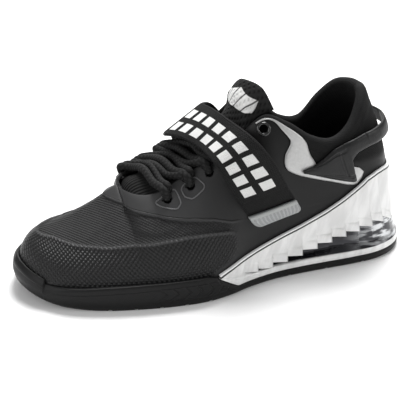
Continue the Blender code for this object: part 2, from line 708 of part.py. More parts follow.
def tube(points, radius, sides):
    """A closed round bar along points, as points and faces."""
    rings, count = [], len(points)
    for i, p in enumerate(points):
        ahead = points[min(i + 1, count - 1)] - points[max(i - 1, 0)]
        ahead = ahead / np.linalg.norm(ahead)
        side = np.cross(ahead, (0.0, 0.0, 1.0))
        side = side / np.linalg.norm(side)
        over = np.cross(side, ahead)
        rings.append([p + radius * (math.cos(a) * side + math.sin(a) * over)
                      for a in np.arange(sides) * 2 * math.pi / sides])
    faces = band_faces(rings, True, False)
    faces += [tuple(range(sides)), tuple((count - 1) * sides + i for i in range(sides))]
    return [p for ring in rings for p in ring], faces


def tongue_point(along_share, across_share):
    """A point on the tongue's face and its normal, at shares of the way to its top and to its medial edge."""
    i = along_share * (len(tongue_face) - 1)
    j = across_share * (TONGUE_COUNT - 1)
    a, b = int(min(i, len(tongue_face) - 2)), int(min(j, TONGUE_COUNT - 2))
    u, v = i - a, j - b
    corners = ((a, b, (1 - u) * (1 - v)), (a + 1, b, u * (1 - v)),
               (a, b + 1, (1 - u) * v), (a + 1, b + 1, u * v))
    mixed = [sum(grid[i, j] * weight for i, j, weight in corners) for grid in (tongue_face, tongue_normals)]
    return mixed[0], mixed[1] / np.linalg.norm(mixed[1])


def tongue_row(row):
    """How far along the tongue's face a row lies."""
    return float(np.interp(row, [t[0] for t in TONGUE], np.arange(len(TONGUE)) / (len(tongue_face) - 1)))


def bar_path(start, end, share, raise_by):
    """A bar's centre line from lateral row start, over the tongue, to medial row end."""
    clear = LACE / 2 + FIT_GAP
    points = [skin(r, s, OVERLAY + clear + 0.0004 + rise) for r, s, rise in (
        (start, share, 0.0), (start, 1.0, EDGE_RISE), (RING - end, 1.0, EDGE_RISE), (RING - end, share, 0.0))]
    over = []
    for part in (0.33, 0.41, 0.5, 0.59, 0.67):
        face, normal = tongue_point(tongue_row(start + (end - start) * part), part)
        over.append(face + normal * (clear + raise_by * math.sin(math.pi * part)))
    return curve_through([*points[:2], *over, *points[2:]], BAR_SEGMENTS + 1)


def build_laces():
    bars = []
    for (lateral, medial, share), raise_by in zip(EYELETS, BAR_RAISE):
        bars.append(bar_path(lateral, medial, share, raise_by * LACE))
    for low, high in zip(EYELETS[:LACED - 1], EYELETS[1:LACED]):
        bars.append(bar_path(low[0] + 0.12, high[1] - 0.12, 0.95, 0.12 * LACE))
        bars.append(bar_path(high[0] - 0.12, low[1] + 0.12, 0.95, 0.15 * LACE))
    first = None
    for number, path in enumerate(bars):
        points, faces = tube(path, LACE / 2, BAR_SIDES)
        if first is None:
            first = make_object("laces", mesh_of("laces", points, faces), (0.02, 0.02, 0.02), 0.8)
            continue
        name = f"lace_bar_{number}"
        piece = make_object(name, mesh_of(name, points, faces), (0.02, 0.02, 0.02))
        piece.hide_render = True
        piece.display_type = "WIRE"
        joined = first.modifiers.new(f"bar {number}", "BOOLEAN")
        joined.operation = "UNION"
        joined.object = piece
    return first


# Eyelets of the empty top pair: glossy moulded rings round the holes.
def build_rings():
    lateral, medial, share = EYELETS[-1]
    for name, r in (("eyelet_ring_lateral", lateral), ("eyelet_ring_medial", RING - medial)):
        normal = last_normal(r, share)
        centre = skin(r, share, OVERLAY + FIT_GAP + RING_THICKNESS * 0.5)
        bpy.ops.mesh.primitive_torus_add(major_radius=(EYELET_HOLE + EYELET_RING) / 2,
                                         minor_radius=(EYELET_RING - EYELET_HOLE) / 2,
                                         major_segments=12, minor_segments=5)
        ring = bpy.context.object
        for vertex in ring.data.vertices:
            vertex.co.z *= RING_THICKNESS / (EYELET_RING - EYELET_HOLE)
        mesh = ring.data
        bpy.data.objects.remove(ring)
        made = make_object(name, mesh, (0.015, 0.015, 0.015), 0.2)
        made.location = centre
        made.rotation_mode = "QUATERNION"
        made.rotation_quaternion = Vector(normal).to_track_quat("Z", "Y")


# Strap: a wide webbing band over the lacing, from the medial feather line to its rigid lateral end.
STRAP_PATH = (
    # side (-1 lateral, 1 medial), front_row, front_rise, rear_row, rear_rise, lift
    (-1, 10.00, 0.445, 11.85, 0.485, 0.0000),
    (-1, 9.72, 0.520, 11.48, 0.590, 0.0008),
    (-1, 9.42, 0.610, 11.10, 0.720, 0.0046),
    (-1, 9.20, 0.700, 10.66, 0.846, 0.0104),
    (1, 8.60, 0.665, 10.20, 0.820, 0.0070),
    (1, 9.10, 0.560, 10.75, 0.690, 0.0020),
    (1, 9.55, 0.440, 11.10, 0.550, 0.0004),
    (1, 9.90, 0.340, 11.30, 0.420, 0.0000),
    (1, 10.1, 0.275, 11.40, 0.335, 0.0000),
)
STRAP_CREST = (
    # front_along, front_rise, rear_along, rear_rise, across
    (0.452, 0.790, 0.526, 0.936, -0.13),
    (0.421, 0.795, 0.510, 0.938, 0.03),
    (0.400, 0.752, 0.502, 0.917, 0.19),
)
STRAP_STATIONS, STRAP_ACROSS = 27, 5


def on_upper(r, rise, lift):
    """A point at lift above the upper's proud surface, at a height given as a share of the tab height."""
    return skin(r, min(0.985, share_at_height(r, rise * TAB_HEIGHT)), OVERLAY + FIT_GAP + lift)


def strap_stations(width):
    """Control points of the strap's underside along its length, at width share 0 (front) to 1 (rear)."""
    stations = []
    for side, front, front_rise, rear, rear_rise, lift in STRAP_PATH:
        row, rise = front + (rear - front) * width, front_rise + (rear_rise - front_rise) * width
        stations.append(on_upper(row if side < 0 else RING - row, rise, lift))
    crest = []
    for front, front_rise, rear, rear_rise, across in STRAP_CREST:
        along, rise = front + (rear - front) * width, front_rise + (rear_rise - front_rise) * width
        point = np.array([(along - 0.5) * SHOE_LENGTH, across * BALL_WIDTH, 0.0]) - PLAN_SHIFT
        point[2] = rise * TAB_HEIGHT
        crest.append(point)
    middle = sum(1 for station in STRAP_PATH if station[0] < 0)
    return stations[:middle] + crest + stations[middle:]


def thick_slab(name, under, thickness, edge=0.6):
    """A slab grown out of its underside by thickness, and thinner along its edges."""
    grid = np.array(under)
    along, across = np.gradient(grid, axis=0), np.gradient(grid, axis=1)
    normals = np.cross(along, across)
    normals /= np.linalg.norm(normals, axis=2)[..., None]
    middle = normals[len(grid) // 2, grid.shape[1] // 2]
    if middle[2] < 0:
        normals = -normals
    depth = np.full(grid.shape[:2], thickness)
    depth[:, 0] *= edge
    depth[:, -1] *= edge
    return slab(name, list(grid), list(grid + normals * depth[..., None]))


def build_strap():
    widths = np.linspace(0, 1, STRAP_ACROSS)
    lines = [curve_through(strap_stations(width), STRAP_STATIONS) for width in widths]
    under = [[line[i] for line in lines] for i in range(STRAP_STATIONS)]
    return make_object("strap", thick_slab("strap", under, STRAP), (0.025, 0.025, 0.025), 0.75)


# Strap end: a rigid silver tab with rounded corners, gripped to open the strap.
STRAP_TAB = (
    # front_row, front_rise, rear_row, rear_rise
    (10.01, 0.437, 11.86, 0.477),
    (10.10, 0.410, 11.93, 0.450),
    (10.20, 0.387, 11.99, 0.428),
    (10.34, 0.372, 11.97, 0.410),
    (10.50, 0.367, 11.85, 0.398),
)


def build_strap_tab():
    under = []
    for front, front_rise, rear, rear_rise in STRAP_TAB:
        under.append([on_upper(front + (rear - front) * w, front_rise + (rear_rise - front_rise) * w, 0.0)
                      for w in (0, 0.04, 0.35, 0.65, 0.96, 1)])
    grid = np.array(under)
    outward_side = np.array([last_normal(10.9, 0.45)] * grid.shape[1])
    over = [line + outward_side * TAB_THICKNESS for line in under]
    return make_object("strap_tab", slab("strap_tab", under, over), (0.6, 0.6, 0.6), 0.4, 0.3)


# Heel loop: a rolled pull band from a stitched triangular foot on each quarter, standing off behind the heel.
LOOP = (
    # row, low_rise, high_rise, stand_off
    (12.35, 0.626, 0.642, 0.0),
    (12.90, 0.600, 0.658, 0.0),
    (13.50, 0.568, 0.700, 0.0),
    (14.00, 0.541, 0.748, 0.0),
    (14.40, 0.520, 0.768, 0.0002),
    (14.55, 0.528, 0.774, 0.0003),
    (14.66, 0.660, 0.778, 0.0004),
    (15.00, 0.700, 0.788, 0.0007),
    (15.60, 0.722, 0.805, 0.0012),
    (16.30, 0.730, 0.813, 0.0020),
    (17.00, 0.732, 0.815, 0.0026),
    (18.00, 0.732, 0.815, 0.0030),
)


def build_loop():
    table = list(LOOP) + [(RING - row[0], *row[1:]) for row in reversed(LOOP[:-1])]
    under, over = [], []
    for r, low, high, stand_off in table:
        rises = [low + (high - low) * w for w in (0, 0.2, 0.5, 0.8, 1)]
        lift = FILM + 1.5 * FIT_GAP + stand_off
        under.append([on_upper(r, rise, lift) for rise in rises])
        over.append([on_upper(r, rise, lift + LOOP_THICKNESS * depth)
                     for rise, depth in zip(rises, (0.35, 0.85, 1.0, 0.85, 0.35))])
    return make_object("heel_loop", slab("heel_loop", under, over), (0.08, 0.08, 0.085), 0.5)


# Quarter film: a silver ribbon from the top eyelet down and back under the heel loop's foot, on each side.
FILM_PATH = (
    # outer_row, outer_rise, inner_row, inner_rise
    (10.68, 0.929, 10.72, 0.920),
    (10.90, 0.949, 10.92, 0.938),
    (11.12, 0.957, 11.12, 0.944),
    (11.42, 0.947, 11.40, 0.928),
    (11.80, 0.911, 11.66, 0.885),
    (12.20, 0.874, 11.90, 0.846),
    (12.50, 0.843, 12.00, 0.820),
    (12.75, 0.800, 11.92, 0.792),
    (12.82, 0.762, 11.66, 0.748),
    (12.90, 0.722, 11.58, 0.700),
    (13.00, 0.695, 11.68, 0.660),
    (13.10, 0.662, 12.10, 0.620),
    (13.30, 0.638, 12.70, 0.585),
    (13.70, 0.612, 13.60, 0.540),
    (14.20, 0.606, 14.35, 0.500),
    (14.55, 0.615, 14.75, 0.530),
    (14.88, 0.598, 15.00, 0.568),
)


def build_films():
    for name, turn in (("quarter_film_lateral", lambda row: row),
                       ("quarter_film_medial", lambda row: RING - row)):
        under, over = [], []
        for outer, outer_rise, inner, inner_rise in FILM_PATH:
            lines = []
            for w in (0, 0.5, 1):
                r, rise = turn(outer + (inner - outer) * w), outer_rise + (inner_rise - outer_rise) * w
                share = min(0.99 - 0.014 * w, share_at_height(r, rise * TAB_HEIGHT))
                base = OVERLAY + 1.5 * FIT_GAP
                lines.append((skin(r, share, base), skin(r, share, base + FILM)))
            under.append([line[0] for line in lines])
            over.append([line[1] for line in lines])
        make_object(name, slab(name, under, over), (0.55, 0.55, 0.56), 0.35, 0.4)


build_outsole()
build_wedge()
build_upper()
build_insole()
tongue_face, tongue_normals = build_tongue()
build_laces()
build_rings()
build_strap()
build_strap_tab()
build_loop()
build_films()
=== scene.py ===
import math

import bmesh
import bpy
import numpy as np
from mathutils import Matrix, Vector


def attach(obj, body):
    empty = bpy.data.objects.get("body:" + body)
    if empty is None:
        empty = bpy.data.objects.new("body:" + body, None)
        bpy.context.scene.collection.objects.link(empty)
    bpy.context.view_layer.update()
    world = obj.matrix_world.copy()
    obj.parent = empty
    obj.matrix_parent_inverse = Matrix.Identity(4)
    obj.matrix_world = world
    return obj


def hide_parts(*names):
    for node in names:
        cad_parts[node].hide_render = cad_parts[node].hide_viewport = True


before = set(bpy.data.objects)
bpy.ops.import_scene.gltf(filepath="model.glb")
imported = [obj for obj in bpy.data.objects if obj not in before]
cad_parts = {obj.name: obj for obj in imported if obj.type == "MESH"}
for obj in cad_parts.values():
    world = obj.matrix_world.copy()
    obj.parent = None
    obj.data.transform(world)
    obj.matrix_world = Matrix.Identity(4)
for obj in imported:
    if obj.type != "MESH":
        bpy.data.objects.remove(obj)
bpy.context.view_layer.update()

# Outsole: one black rubber moulding, a cup round the forefoot with a toe bumper, thin under the heel.
# Its rim carries the heel wedge behind, and flex grooves cross the tread.
SHOE_LENGTH = 0.292
BALL_WIDTH = 0.108
TAB_HEIGHT = 0.126
FOREFOOT_STACK = 0.010
HEEL_STACK = 0.031
TOE_SPRING = 0.0055
RUBBER = 0.0055
RIM = 0.0032
WALL_HEIGHT = 0.0205
BUMPER_HEIGHT = 0.0255
OVERLAY = 0.0008
FIT_GAP = 0.0004
SEAT_GAP = 0.0008
GROOVE_DEPTH = 0.0012
GROOVE_WIDTH = 0.0026
GROOVES = (0.20, 0.26, 0.32, 0.38, 0.44, 0.66, 0.76, 0.86)
BELLY_SHARE, SIDE_SHARE = 0.52, 0.16
BELLY_LINE = 12

SOLE = (
    # along, lateral, medial, foot_inset, bottom_inset
    (0.000, 0.025, 0.025, 0.050, 0.040),
    (0.010, -0.095, 0.150, 0.048, 0.040),
    (0.035, -0.215, 0.270, 0.046, 0.036),
    (0.075, -0.320, 0.360, 0.043, 0.032),
    (0.130, -0.400, 0.415, 0.041, 0.026),
    (0.200, -0.462, 0.448, 0.040, 0.020),
    (0.280, -0.508, 0.453, 0.040, 0.018),
    (0.360, -0.537, 0.423, 0.041, 0.018),
    (0.430, -0.542, 0.372, 0.045, 0.018),
    (0.490, -0.510, 0.338, 0.048, 0.018),
    (0.550, -0.450, 0.318, 0.050, 0.016),
    (0.620, -0.405, 0.308, 0.052, 0.014),
    (0.690, -0.388, 0.308, 0.056, 0.012),
    (0.760, -0.382, 0.312, 0.062, 0.012),
    (0.830, -0.378, 0.315, 0.072, 0.012),
    (0.900, -0.358, 0.300, 0.088, 0.012),
    (0.955, -0.290, 0.235, 0.108, 0.014),
    (0.988, -0.175, 0.130, 0.122, 0.018),
    (1.000, -0.025, -0.025, 0.128, 0.018),
)
TOP = (
    # along, medial_along, centre, half_gap, rise, medial_rise, fan_deg, slope_deg,
    #     foot_reach, top_reach, foot_lean_deg, pad
    (0.090, 0.090, 0.050, 0.000, 0.346, 0.346, 0, 80, 0.50, 0.26, 2, 0.0),
    (0.094, 0.094, 0.050, 0.000, 0.348, 0.348, 24, 80, 0.50, 0.26, 2, 0.0),
    (0.104, 0.104, 0.052, 0.000, 0.354, 0.354, 48, 80, 0.48, 0.26, 2, 0.0),
    (0.122, 0.122, 0.055, 0.000, 0.366, 0.366, 68, 80, 0.43, 0.24, 3, 0.0),
    (0.156, 0.156, 0.058, 0.000, 0.396, 0.396, 82, 80, 0.38, 0.20, 4, 0.0),
    (0.208, 0.208, 0.060, 0.000, 0.456, 0.456, 90, 80, 0.37, 0.18, 5, 0.0),
    (0.270, 0.270, 0.060, 0.000, 0.535, 0.535, 90, 80, 0.37, 0.16, 6, 0.0),
    (0.335, 0.335, 0.050, 0.205, 0.545, 0.540, 90, 58, 0.40, 0.26, 6, 0.0),
    (0.410, 0.410, 0.040, 0.205, 0.630, 0.635, 90, 50, 0.38, 0.26, 5, 0.0),
    (0.475, 0.475, 0.030, 0.205, 0.725, 0.735, 90, 46, 0.38, 0.26, 4, 0.0),
    (0.540, 0.540, 0.015, 0.210, 0.830, 0.835, 90, 42, 0.40, 0.26, 3, 0.0),
    (0.603, 0.600, 0.000, 0.220, 0.955, 0.945, 90, 32, 0.42, 0.28, 2, 0.15),
    (0.660, 0.650, -0.015, 0.250, 0.898, 0.870, 90, 12, 0.42, 0.28, 1, 0.65),
    (0.715, 0.700, -0.025, 0.270, 0.800, 0.755, 92, 0, 0.40, 0.28, 0, 1.0),
    (0.770, 0.755, -0.028, 0.272, 0.765, 0.735, 95, -2, 0.40, 0.28, 0, 1.0),
    (0.820, 0.800, -0.028, 0.248, 0.830, 0.865, 102, 4, 0.40, 0.30, 2, 1.0),
    (0.855, 0.838, -0.028, 0.185, 0.945, 0.970, 120, 14, 0.42, 0.32, 4, 1.0),
    (0.876, 0.870, -0.028, 0.100, 0.998, 1.000, 150, 20, 0.42, 0.34, 5, 1.0),
    (0.884, 0.884, -0.028, 0.000, 1.000, 1.000, 180, 22, 0.42, 0.34, 5, 1.0),
)
ROWS = len(SOLE)
RING = 2 * (ROWS - 1)
THROAT_ROW = 6
THROAT_END_ROW = 7
WEDGE_ROW = 8.40
THIN_ROW = 9.4
FINE_ROW = 0.07
RUBBER_ROW = 0.12

BUMPER_TOP = ((0, 1.0), (1, 0.96), (2, 0.86), (2.5, 0.79))
WALL_TOP = ((2.5, 0.83), (3, 0.84), (4, 0.88), (5, 0.95), (6, 0.99), (7, 1.0), (8, 0.99), (8.35, 0.93))
WALL_END = ((8.35, 0.92), (8.55, 0.72), (8.9, 0.42), (9.4, 0.0))
TOE_RISE = ((0.0, 1.0), (0.03, 0.72), (0.06, 0.46), (0.10, 0.20), (0.15, 0.04), (0.19, 0.0), (1.0, 0.0))
STACK_RISE = ((0.0, 0.0), (0.40, 0.0), (0.48, 0.05), (0.56, 0.24), (0.64, 0.50), (0.72, 0.78), (0.80, 0.96),
              (0.86, 1.0), (1.0, 1.0))
COLUMNS = {"along": (SOLE, 0, 0), "edge": (SOLE, 1, 2), "foot_inset": (SOLE, 3, 3),
           "bottom_inset": (SOLE, 4, 4), "top_along": (TOP, 0, 1), "centre": (TOP, 2, 2),
           "half_gap": (TOP, 3, 3), "rise": (TOP, 4, 5), "fan": (TOP, 6, 6), "slope": (TOP, 7, 7),
           "foot_reach": (TOP, 8, 8), "top_reach": (TOP, 9, 9), "foot_lean": (TOP, 10, 10),
           "pad": (TOP, 11, 11)}
CONTROLS = {name: [row[lateral] for row in table] + [row[medial] for row in table[-2:0:-1]]
            for name, (table, lateral, medial) in COLUMNS.items()}


def by_rows(pairs, where):
    """A value read off a short table of (row or share, value) pairs."""
    return np.interp(where, [p[0] for p in pairs], [p[1] for p in pairs])


def smooth(a, b, x):
    """0 before a, 1 after b, and an even slope between them."""
    t = np.clip((x - a) / (b - a), 0.0, 1.0)
    return t * t * (3 - 2 * t)


def ring_value(column, r):
    """A column's value at ring place r, on a smooth curve through its rows."""
    values = CONTROLS[column]
    i = math.floor(r)
    t = r - i
    a, b, c, d = (values[(i + k) % RING] for k in (-1, 0, 1, 2))
    return b + 0.5 * t * (c - a + t * (2 * a - 5 * b + 4 * c - d + t * (3 * (b - c) + d - a)))


def row_of(r):
    """The table row at ring place r, counted from the toe on either side."""
    return min(r % RING, RING - r % RING)


def raw_sole_edge(r):
    """A point on the sole's outline, before the outline is centred."""
    return np.array([(ring_value("along", r) - 0.5) * SHOE_LENGTH, ring_value("edge", r) * BALL_WIDTH, 0.0])


EDGE_SAMPLES = np.array([raw_sole_edge(r) for r in np.arange(0, RING, 0.1)])
PLAN_SHIFT = (EDGE_SAMPLES.min(0) + EDGE_SAMPLES.max(0)) / 2


def outward(r):
    """The sole outline's normal in plan, pointing away from the shoe."""
    along = raw_sole_edge(r + 0.02) - raw_sole_edge(r - 0.02)
    return np.array([along[1], -along[0], 0.0]) / np.linalg.norm(along)


def sole_edge(r, inset=0.0, z=0.0):
    """A point on the sole's outline, moved in by inset."""
    point = raw_sole_edge(r) - PLAN_SHIFT - outward(r) * inset
    point[2] = z
    return point


def ground(x):
    """Height of the sole's underside, which springs up at the toe."""
    return TOE_SPRING * by_rows(TOE_RISE, x / SHOE_LENGTH + 0.5)


def footbed(x):
    """Height of the floor that the insole lies on."""
    lift = (HEEL_STACK - FOREFOOT_STACK) * by_rows(STACK_RISE, x / SHOE_LENGTH + 0.5)
    return ground(x) + FOREFOOT_STACK + lift


def plan_point(along, across, rise):
    """A point at shares of the shoe's length, ball width and tab height."""
    return np.array([(along - 0.5) * SHOE_LENGTH - PLAN_SHIFT[0], across * BALL_WIDTH - PLAN_SHIFT[1],
                     rise * TAB_HEIGHT])


def handles(r):
    """The four handles of the upper's curve at ring place r, from its foot to its top edge."""
    foot = sole_edge(r, ring_value("foot_inset", r) * BALL_WIDTH)
    foot[2] = footbed(foot[0]) + SEAT_GAP
    row = row_of(r)
    place = row if row <= THROAT_ROW else r
    gap, along = ring_value("half_gap", place), ring_value("top_along", place)
    if row <= THROAT_END_ROW:
        bend = max(0.0, row - THROAT_ROW) / (THROAT_END_ROW - THROAT_ROW) * math.pi / 2
        gap = TOP[THROAT_END_ROW][3] * math.sin(bend)
        if row > THROAT_ROW:
            along = TOP[THROAT_END_ROW][0] - (TOP[THROAT_END_ROW][0] - TOP[THROAT_ROW][0]) * math.cos(bend)
    turn_side = 0 if r % RING in (0, RING / 2) else (-1 if r % RING < RING / 2 else 1)
    top = plan_point(along, ring_value("centre", place) + turn_side * gap, ring_value("rise", place))
    turn, slope, lean = (math.radians(ring_value(name, r)) for name in ("fan", "slope", "foot_lean"))
    out = np.array([-math.cos(turn), turn_side * math.sin(turn), 0.0])
    reach = np.linalg.norm(top - foot)
    up = np.array([0.0, 0.0, 1.0])
    low = foot + reach * ring_value("foot_reach", r) * (math.cos(lean) * up + math.sin(lean) * outward(r))
    high = top + reach * ring_value("top_reach", r) * (math.sin(slope) * out - math.cos(slope) * up)
    return np.array([foot, low, high, top])


def last(places, shares):
    """Points on the upper's own form: one row for each ring place, shares from 0 at the foot to 1 at the top."""
    four = np.array([handles(r) for r in places])[:, None]
    s = np.asarray(shares, float)[..., None]
    t = 1 - s
    return (four[:, :, 0] * t ** 3 + 3 * four[:, :, 1] * t * t * s + 3 * four[:, :, 2] * t * s * s
            + four[:, :, 3] * s ** 3)


def last_normals(places, shares):
    """Outward normals of that form, shared by both sides along the ridge of the vamp."""
    places, step = np.asarray(places, float), 0.01
    on_ridge = (np.array([row_of(r) for r in places])[:, None] < THROAT_ROW + 1e-6) & (shares > 0.99)
    held = np.where(on_ridge, np.minimum(shares, 0.985), shares)

    def side(ring_places):
        round_it = last(ring_places + step, held) - last(ring_places - step, held)
        up_it = last(ring_places, np.minimum(1, held + step)) - last(ring_places, np.maximum(0, held - step))
        found = np.cross(round_it, up_it)
        return found / np.linalg.norm(found, axis=2)[..., None]

    total = side(places)
    if on_ridge.any():
        total = np.where(on_ridge[..., None], total + side(RING - places), total)
    return total / np.linalg.norm(total, axis=2)[..., None]


def skin(places, shares, lifts):
    """Points at the given lifts outside the upper's form."""
    shares = np.asarray(shares, float)
    return last(places, shares) + last_normals(places, shares) * np.asarray(lifts, float)[..., None]


def skin_point(r, share, lift=0.0):
    """One point at the given lift outside the upper's form."""
    return skin([r], np.array([[share]]), np.array([[lift]]))[0, 0]


def share_at(r, z):
    """The share at which the column at r passes height z."""
    shares = np.linspace(0, 1, 81)
    return float(np.interp(z, last([r], shares[None])[0, :, 2], shares))


def fine_places(extra=(), step=FINE_ROW):
    """Ring places close together, down the lateral side and back up the medial side."""
    rows = sorted({*np.round(np.arange(0.0, ROWS - 1.0, step), 4).tolist(), *extra, ROWS - 1.0})
    return rows + [RING - row for row in reversed(rows) if row not in (0, ROWS - 1)]


def loft(name, grid, around=False, along=False, keep=None, notes=None, uv=None, more_faces=()):
    """A mesh through a grid of points, closed around its lines or along them, with notes kept as attributes."""
    grid = np.asarray(grid, float)
    count, size = grid.shape[:2]
    i, j = np.meshgrid(np.arange(count if along else count - 1), np.arange(size if around else size - 1),
                       indexing="ij")
    after_i, after_j = (i + 1) % count, (j + 1) % size
    faces = np.stack([i * size + j, i * size + after_j, after_i * size + after_j, after_i * size + j], -1)
    if keep is not None:
        faces = faces[keep]
    faces = faces.reshape(-1, 4).tolist() + [list(face) for face in more_faces]
    mesh = bpy.data.meshes.new(name)
    mesh.from_pydata(grid.reshape(-1, 3).tolist(), [], faces)
    for key, values in (notes or {}).items():
        attribute = mesh.attributes.new(key, "FLOAT", "POINT")
        attribute.data.foreach_set("value", np.ascontiguousarray(values, dtype=np.float32).ravel())
    if uv is not None:
        layer = mesh.uv_layers.new(name="lay")
        corners = np.empty(len(mesh.loops), dtype=np.int32)
        mesh.loops.foreach_get("vertex_index", corners)
        layer.data.foreach_set("uv", np.asarray(uv, np.float32).reshape(-1, 2)[corners].ravel())
    bm = bmesh.new()
    bm.from_mesh(mesh)
    bmesh.ops.remove_doubles(bm, verts=bm.verts, dist=2e-6)
    bmesh.ops.dissolve_degenerate(bm, edges=bm.edges, dist=1e-6)
    bmesh.ops.recalc_face_normals(bm, faces=bm.faces)
    bm.to_mesh(mesh)
    bm.free()
    mesh.shade_smooth()
    made = bpy.data.objects.new(name, mesh)
    bpy.context.scene.collection.objects.link(made)
    return made


def arc_lengths(grid, axis):
    """How far each point of a grid lies along its line, in metres."""
    steps = np.linalg.norm(np.diff(grid, axis=axis), axis=2)
    start = np.zeros_like(np.take(steps, [0], axis=axis))
    return np.concatenate([start, np.cumsum(steps, axis=axis)], axis=axis)


def rounded(points, radii, steps=4):
    """A profile with each inner corner replaced by a small arc of equal point count."""
    made = [points[0]]
    for a, b, c, radius in zip(points, points[1:], points[2:], radii):
        back, on = a - b, c - b
        reach = min(radius, 0.45 * np.linalg.norm(back), 0.45 * np.linalg.norm(on))
        start = b + back / max(np.linalg.norm(back), 1e-9) * reach
        end = b + on / max(np.linalg.norm(on), 1e-9) * reach
        for t in np.linspace(0, 1, steps):
            made.append((1 - t) ** 2 * start + 2 * t * (1 - t) * b + t * t * end)
    made.append(points[-1])
    return made


class Value:
    """A value in a material's nodes that takes part in sums as a number does."""

    def __init__(self, paint, socket):
        self.paint = paint
        self.socket = socket

    def maths(self, operation, *others):
        return self.paint.node("Math", {"operation": operation}, dict(enumerate((self, *others))))

    def __add__(self, other):
        return self.maths("ADD", other)

    def __sub__(self, other):
        return self.maths("SUBTRACT", other)

    def __rsub__(self, other):
        return self.maths("MULTIPLY", -1.0) + other

    def __mul__(self, other):
        return self.maths("MULTIPLY", other)

    def __truediv__(self, other):
        return self.maths("DIVIDE", other)

    def __pow__(self, other):
        return self.maths("POWER", other)

    def __neg__(self):
        return self.maths("MULTIPLY", -1.0)

    def __abs__(self):
        return self.maths("ABSOLUTE")

    def __mod__(self, other):
        return self.maths("FLOORED_MODULO", other)

    def wave(self):
        """Runs from 0 to 1 and back once for each whole number."""
        return (self * math.tau).maths("SINE") * 0.5 + 0.5

    __radd__ = __add__


class Paint:
    """One finish: a Principled surface and the nodes that feed it."""

    def __init__(self, name, colour, roughness, metallic=0.0, **constants):
        self.material = bpy.data.materials.new(name)
        self.material.use_nodes = True
        self.tree = self.material.node_tree
        self.surface = self.tree.nodes["Principled BSDF"]
        self.surface.inputs["Base Color"].default_value = (*colour, 1.0)
        self.surface.inputs["Roughness"].default_value = roughness
        self.surface.inputs["Metallic"].default_value = metallic
        for key, constant in constants.items():
            self.surface.inputs[key.replace("_", " ").title().replace("Ior", "IOR")].default_value = constant
        self.normal = None

    def node(self, kind, settings=None, inputs=None, output=0):
        made = self.tree.nodes.new("ShaderNode" + kind)
        for key, setting in (settings or {}).items():
            setattr(made, key, setting)
        for key, value in (inputs or {}).items():
            if isinstance(value, Value):
                self.tree.links.new(value.socket, made.inputs[key])
            else:
                made.inputs[key].default_value = value
        return Value(self, made.outputs[output])

    def note(self, name):
        """A value kept on the mesh as an attribute."""
        return self.node("Attribute", {"attribute_name": name}, output=2)

    def lay(self):
        """The mesh's own lay along and across, in metres."""
        return self.node("UVMap", {"uv_map": "lay"})

    def place(self):
        return self.node("TexCoord", output=3)

    def parts(self, vector):
        """The three parts of a vector as values."""
        split = self.node("SeparateXYZ", inputs={0: vector}).socket.node
        return [Value(self, split.outputs[i]) for i in range(3)]

    def noise(self, scale, vector=None, detail=3.0, rough=0.55):
        vector = vector or self.place()
        return self.node("TexNoise", inputs={"Vector": vector, "Scale": scale, "Detail": detail,
                                             "Roughness": rough})

    def cells(self, scale):
        return self.node("TexVoronoi", inputs={"Vector": self.place(), "Scale": scale})

    def vector(self, x, y, z=0.0):
        return self.node("CombineXYZ", inputs={0: x, 1: y, 2: z})

    def rise(self, value, low, high):
        """0 below low, 1 above high and smooth between them."""
        return self.node("MapRange", {"interpolation_type": "SMOOTHSTEP"},
                         {"Value": value, "From Min": low, "From Max": high})

    def between(self, value, low, high, soft):
        return self.rise(value, low - soft, low + soft) * (1 - self.rise(value, high - soft, high + soft))

    def mix(self, factor, first, second):
        """One colour turning into another by a factor."""
        first, second = (end if isinstance(end, Value) else (*end, 1.0) for end in (first, second))
        return self.node("Mix", {"data_type": "RGBA"}, {0: factor, 6: first, 7: second}, output=2)

    def coats(self, colour, *layers):
        """A colour with (factor, colour) layers laid over it in turn."""
        for factor, layer in layers:
            colour = self.mix(factor, colour, layer)
        return colour

    def feed(self, name, value):
        self.tree.links.new(value.socket, self.surface.inputs[name])

    def bump(self, height, distance, strength=1.0):
        """Adds relief of the given depth in metres to what the surface has already."""
        inputs = {"Height": height, "Distance": distance, "Strength": strength}
        if self.normal is not None:
            inputs["Normal"] = self.normal
        self.normal = self.node("Bump", inputs=inputs)
        self.feed("Normal", self.normal)


def finish_piece(made, paint, node):
    """Gives a piece its finish, hangs it under the root body and hides the solid it stands for."""
    made.data.materials.clear()
    made.data.materials.append(paint.material)
    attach(made, "root")
    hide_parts(node)


def cut_away(piece, tool):
    """Cuts a tool's shape out of a piece."""
    bpy.context.view_layer.objects.active = piece
    cutting = piece.modifiers.new("cut", "BOOLEAN")
    cutting.operation = "DIFFERENCE"
    cutting.object = tool
    bpy.ops.object.modifier_apply(modifier=cutting.name)
    bpy.data.objects.remove(tool, do_unlink=True)


def bridges(count, size, first):
    """Faces that span the shoe between facing sections, along the sections' first and last lines."""
    made = []
    for i in range(count // 2):
        stations = (i, i + 1, (count - first - i - 1) % count, (count - first - i) % count)
        for line in (0, size - 1):
            made.append(list(dict.fromkeys(station * size + line for station in stations)))
    return made


def wall_top(r):
    """Height of the rubber's top edge: the toe bumper, the side wall, and the fall to the wedge."""
    row = row_of(r)
    if row < 2.49:
        return BUMPER_HEIGHT * by_rows(BUMPER_TOP, row)
    if row < WALL_END[0][0]:
        return WALL_HEIGHT * by_rows(WALL_TOP, row)
    thin = RUBBER + 0.2 * RIM
    return thin + (WALL_HEIGHT - thin) * by_rows(WALL_END, row)


def thin_rubber(row):
    """Thickness of the rubber where it runs under the wedge."""
    return RUBBER + 0.3 * (FOREFOOT_STACK - RUBBER) * (1 - smooth(WEDGE_ROW, THIN_ROW, row))


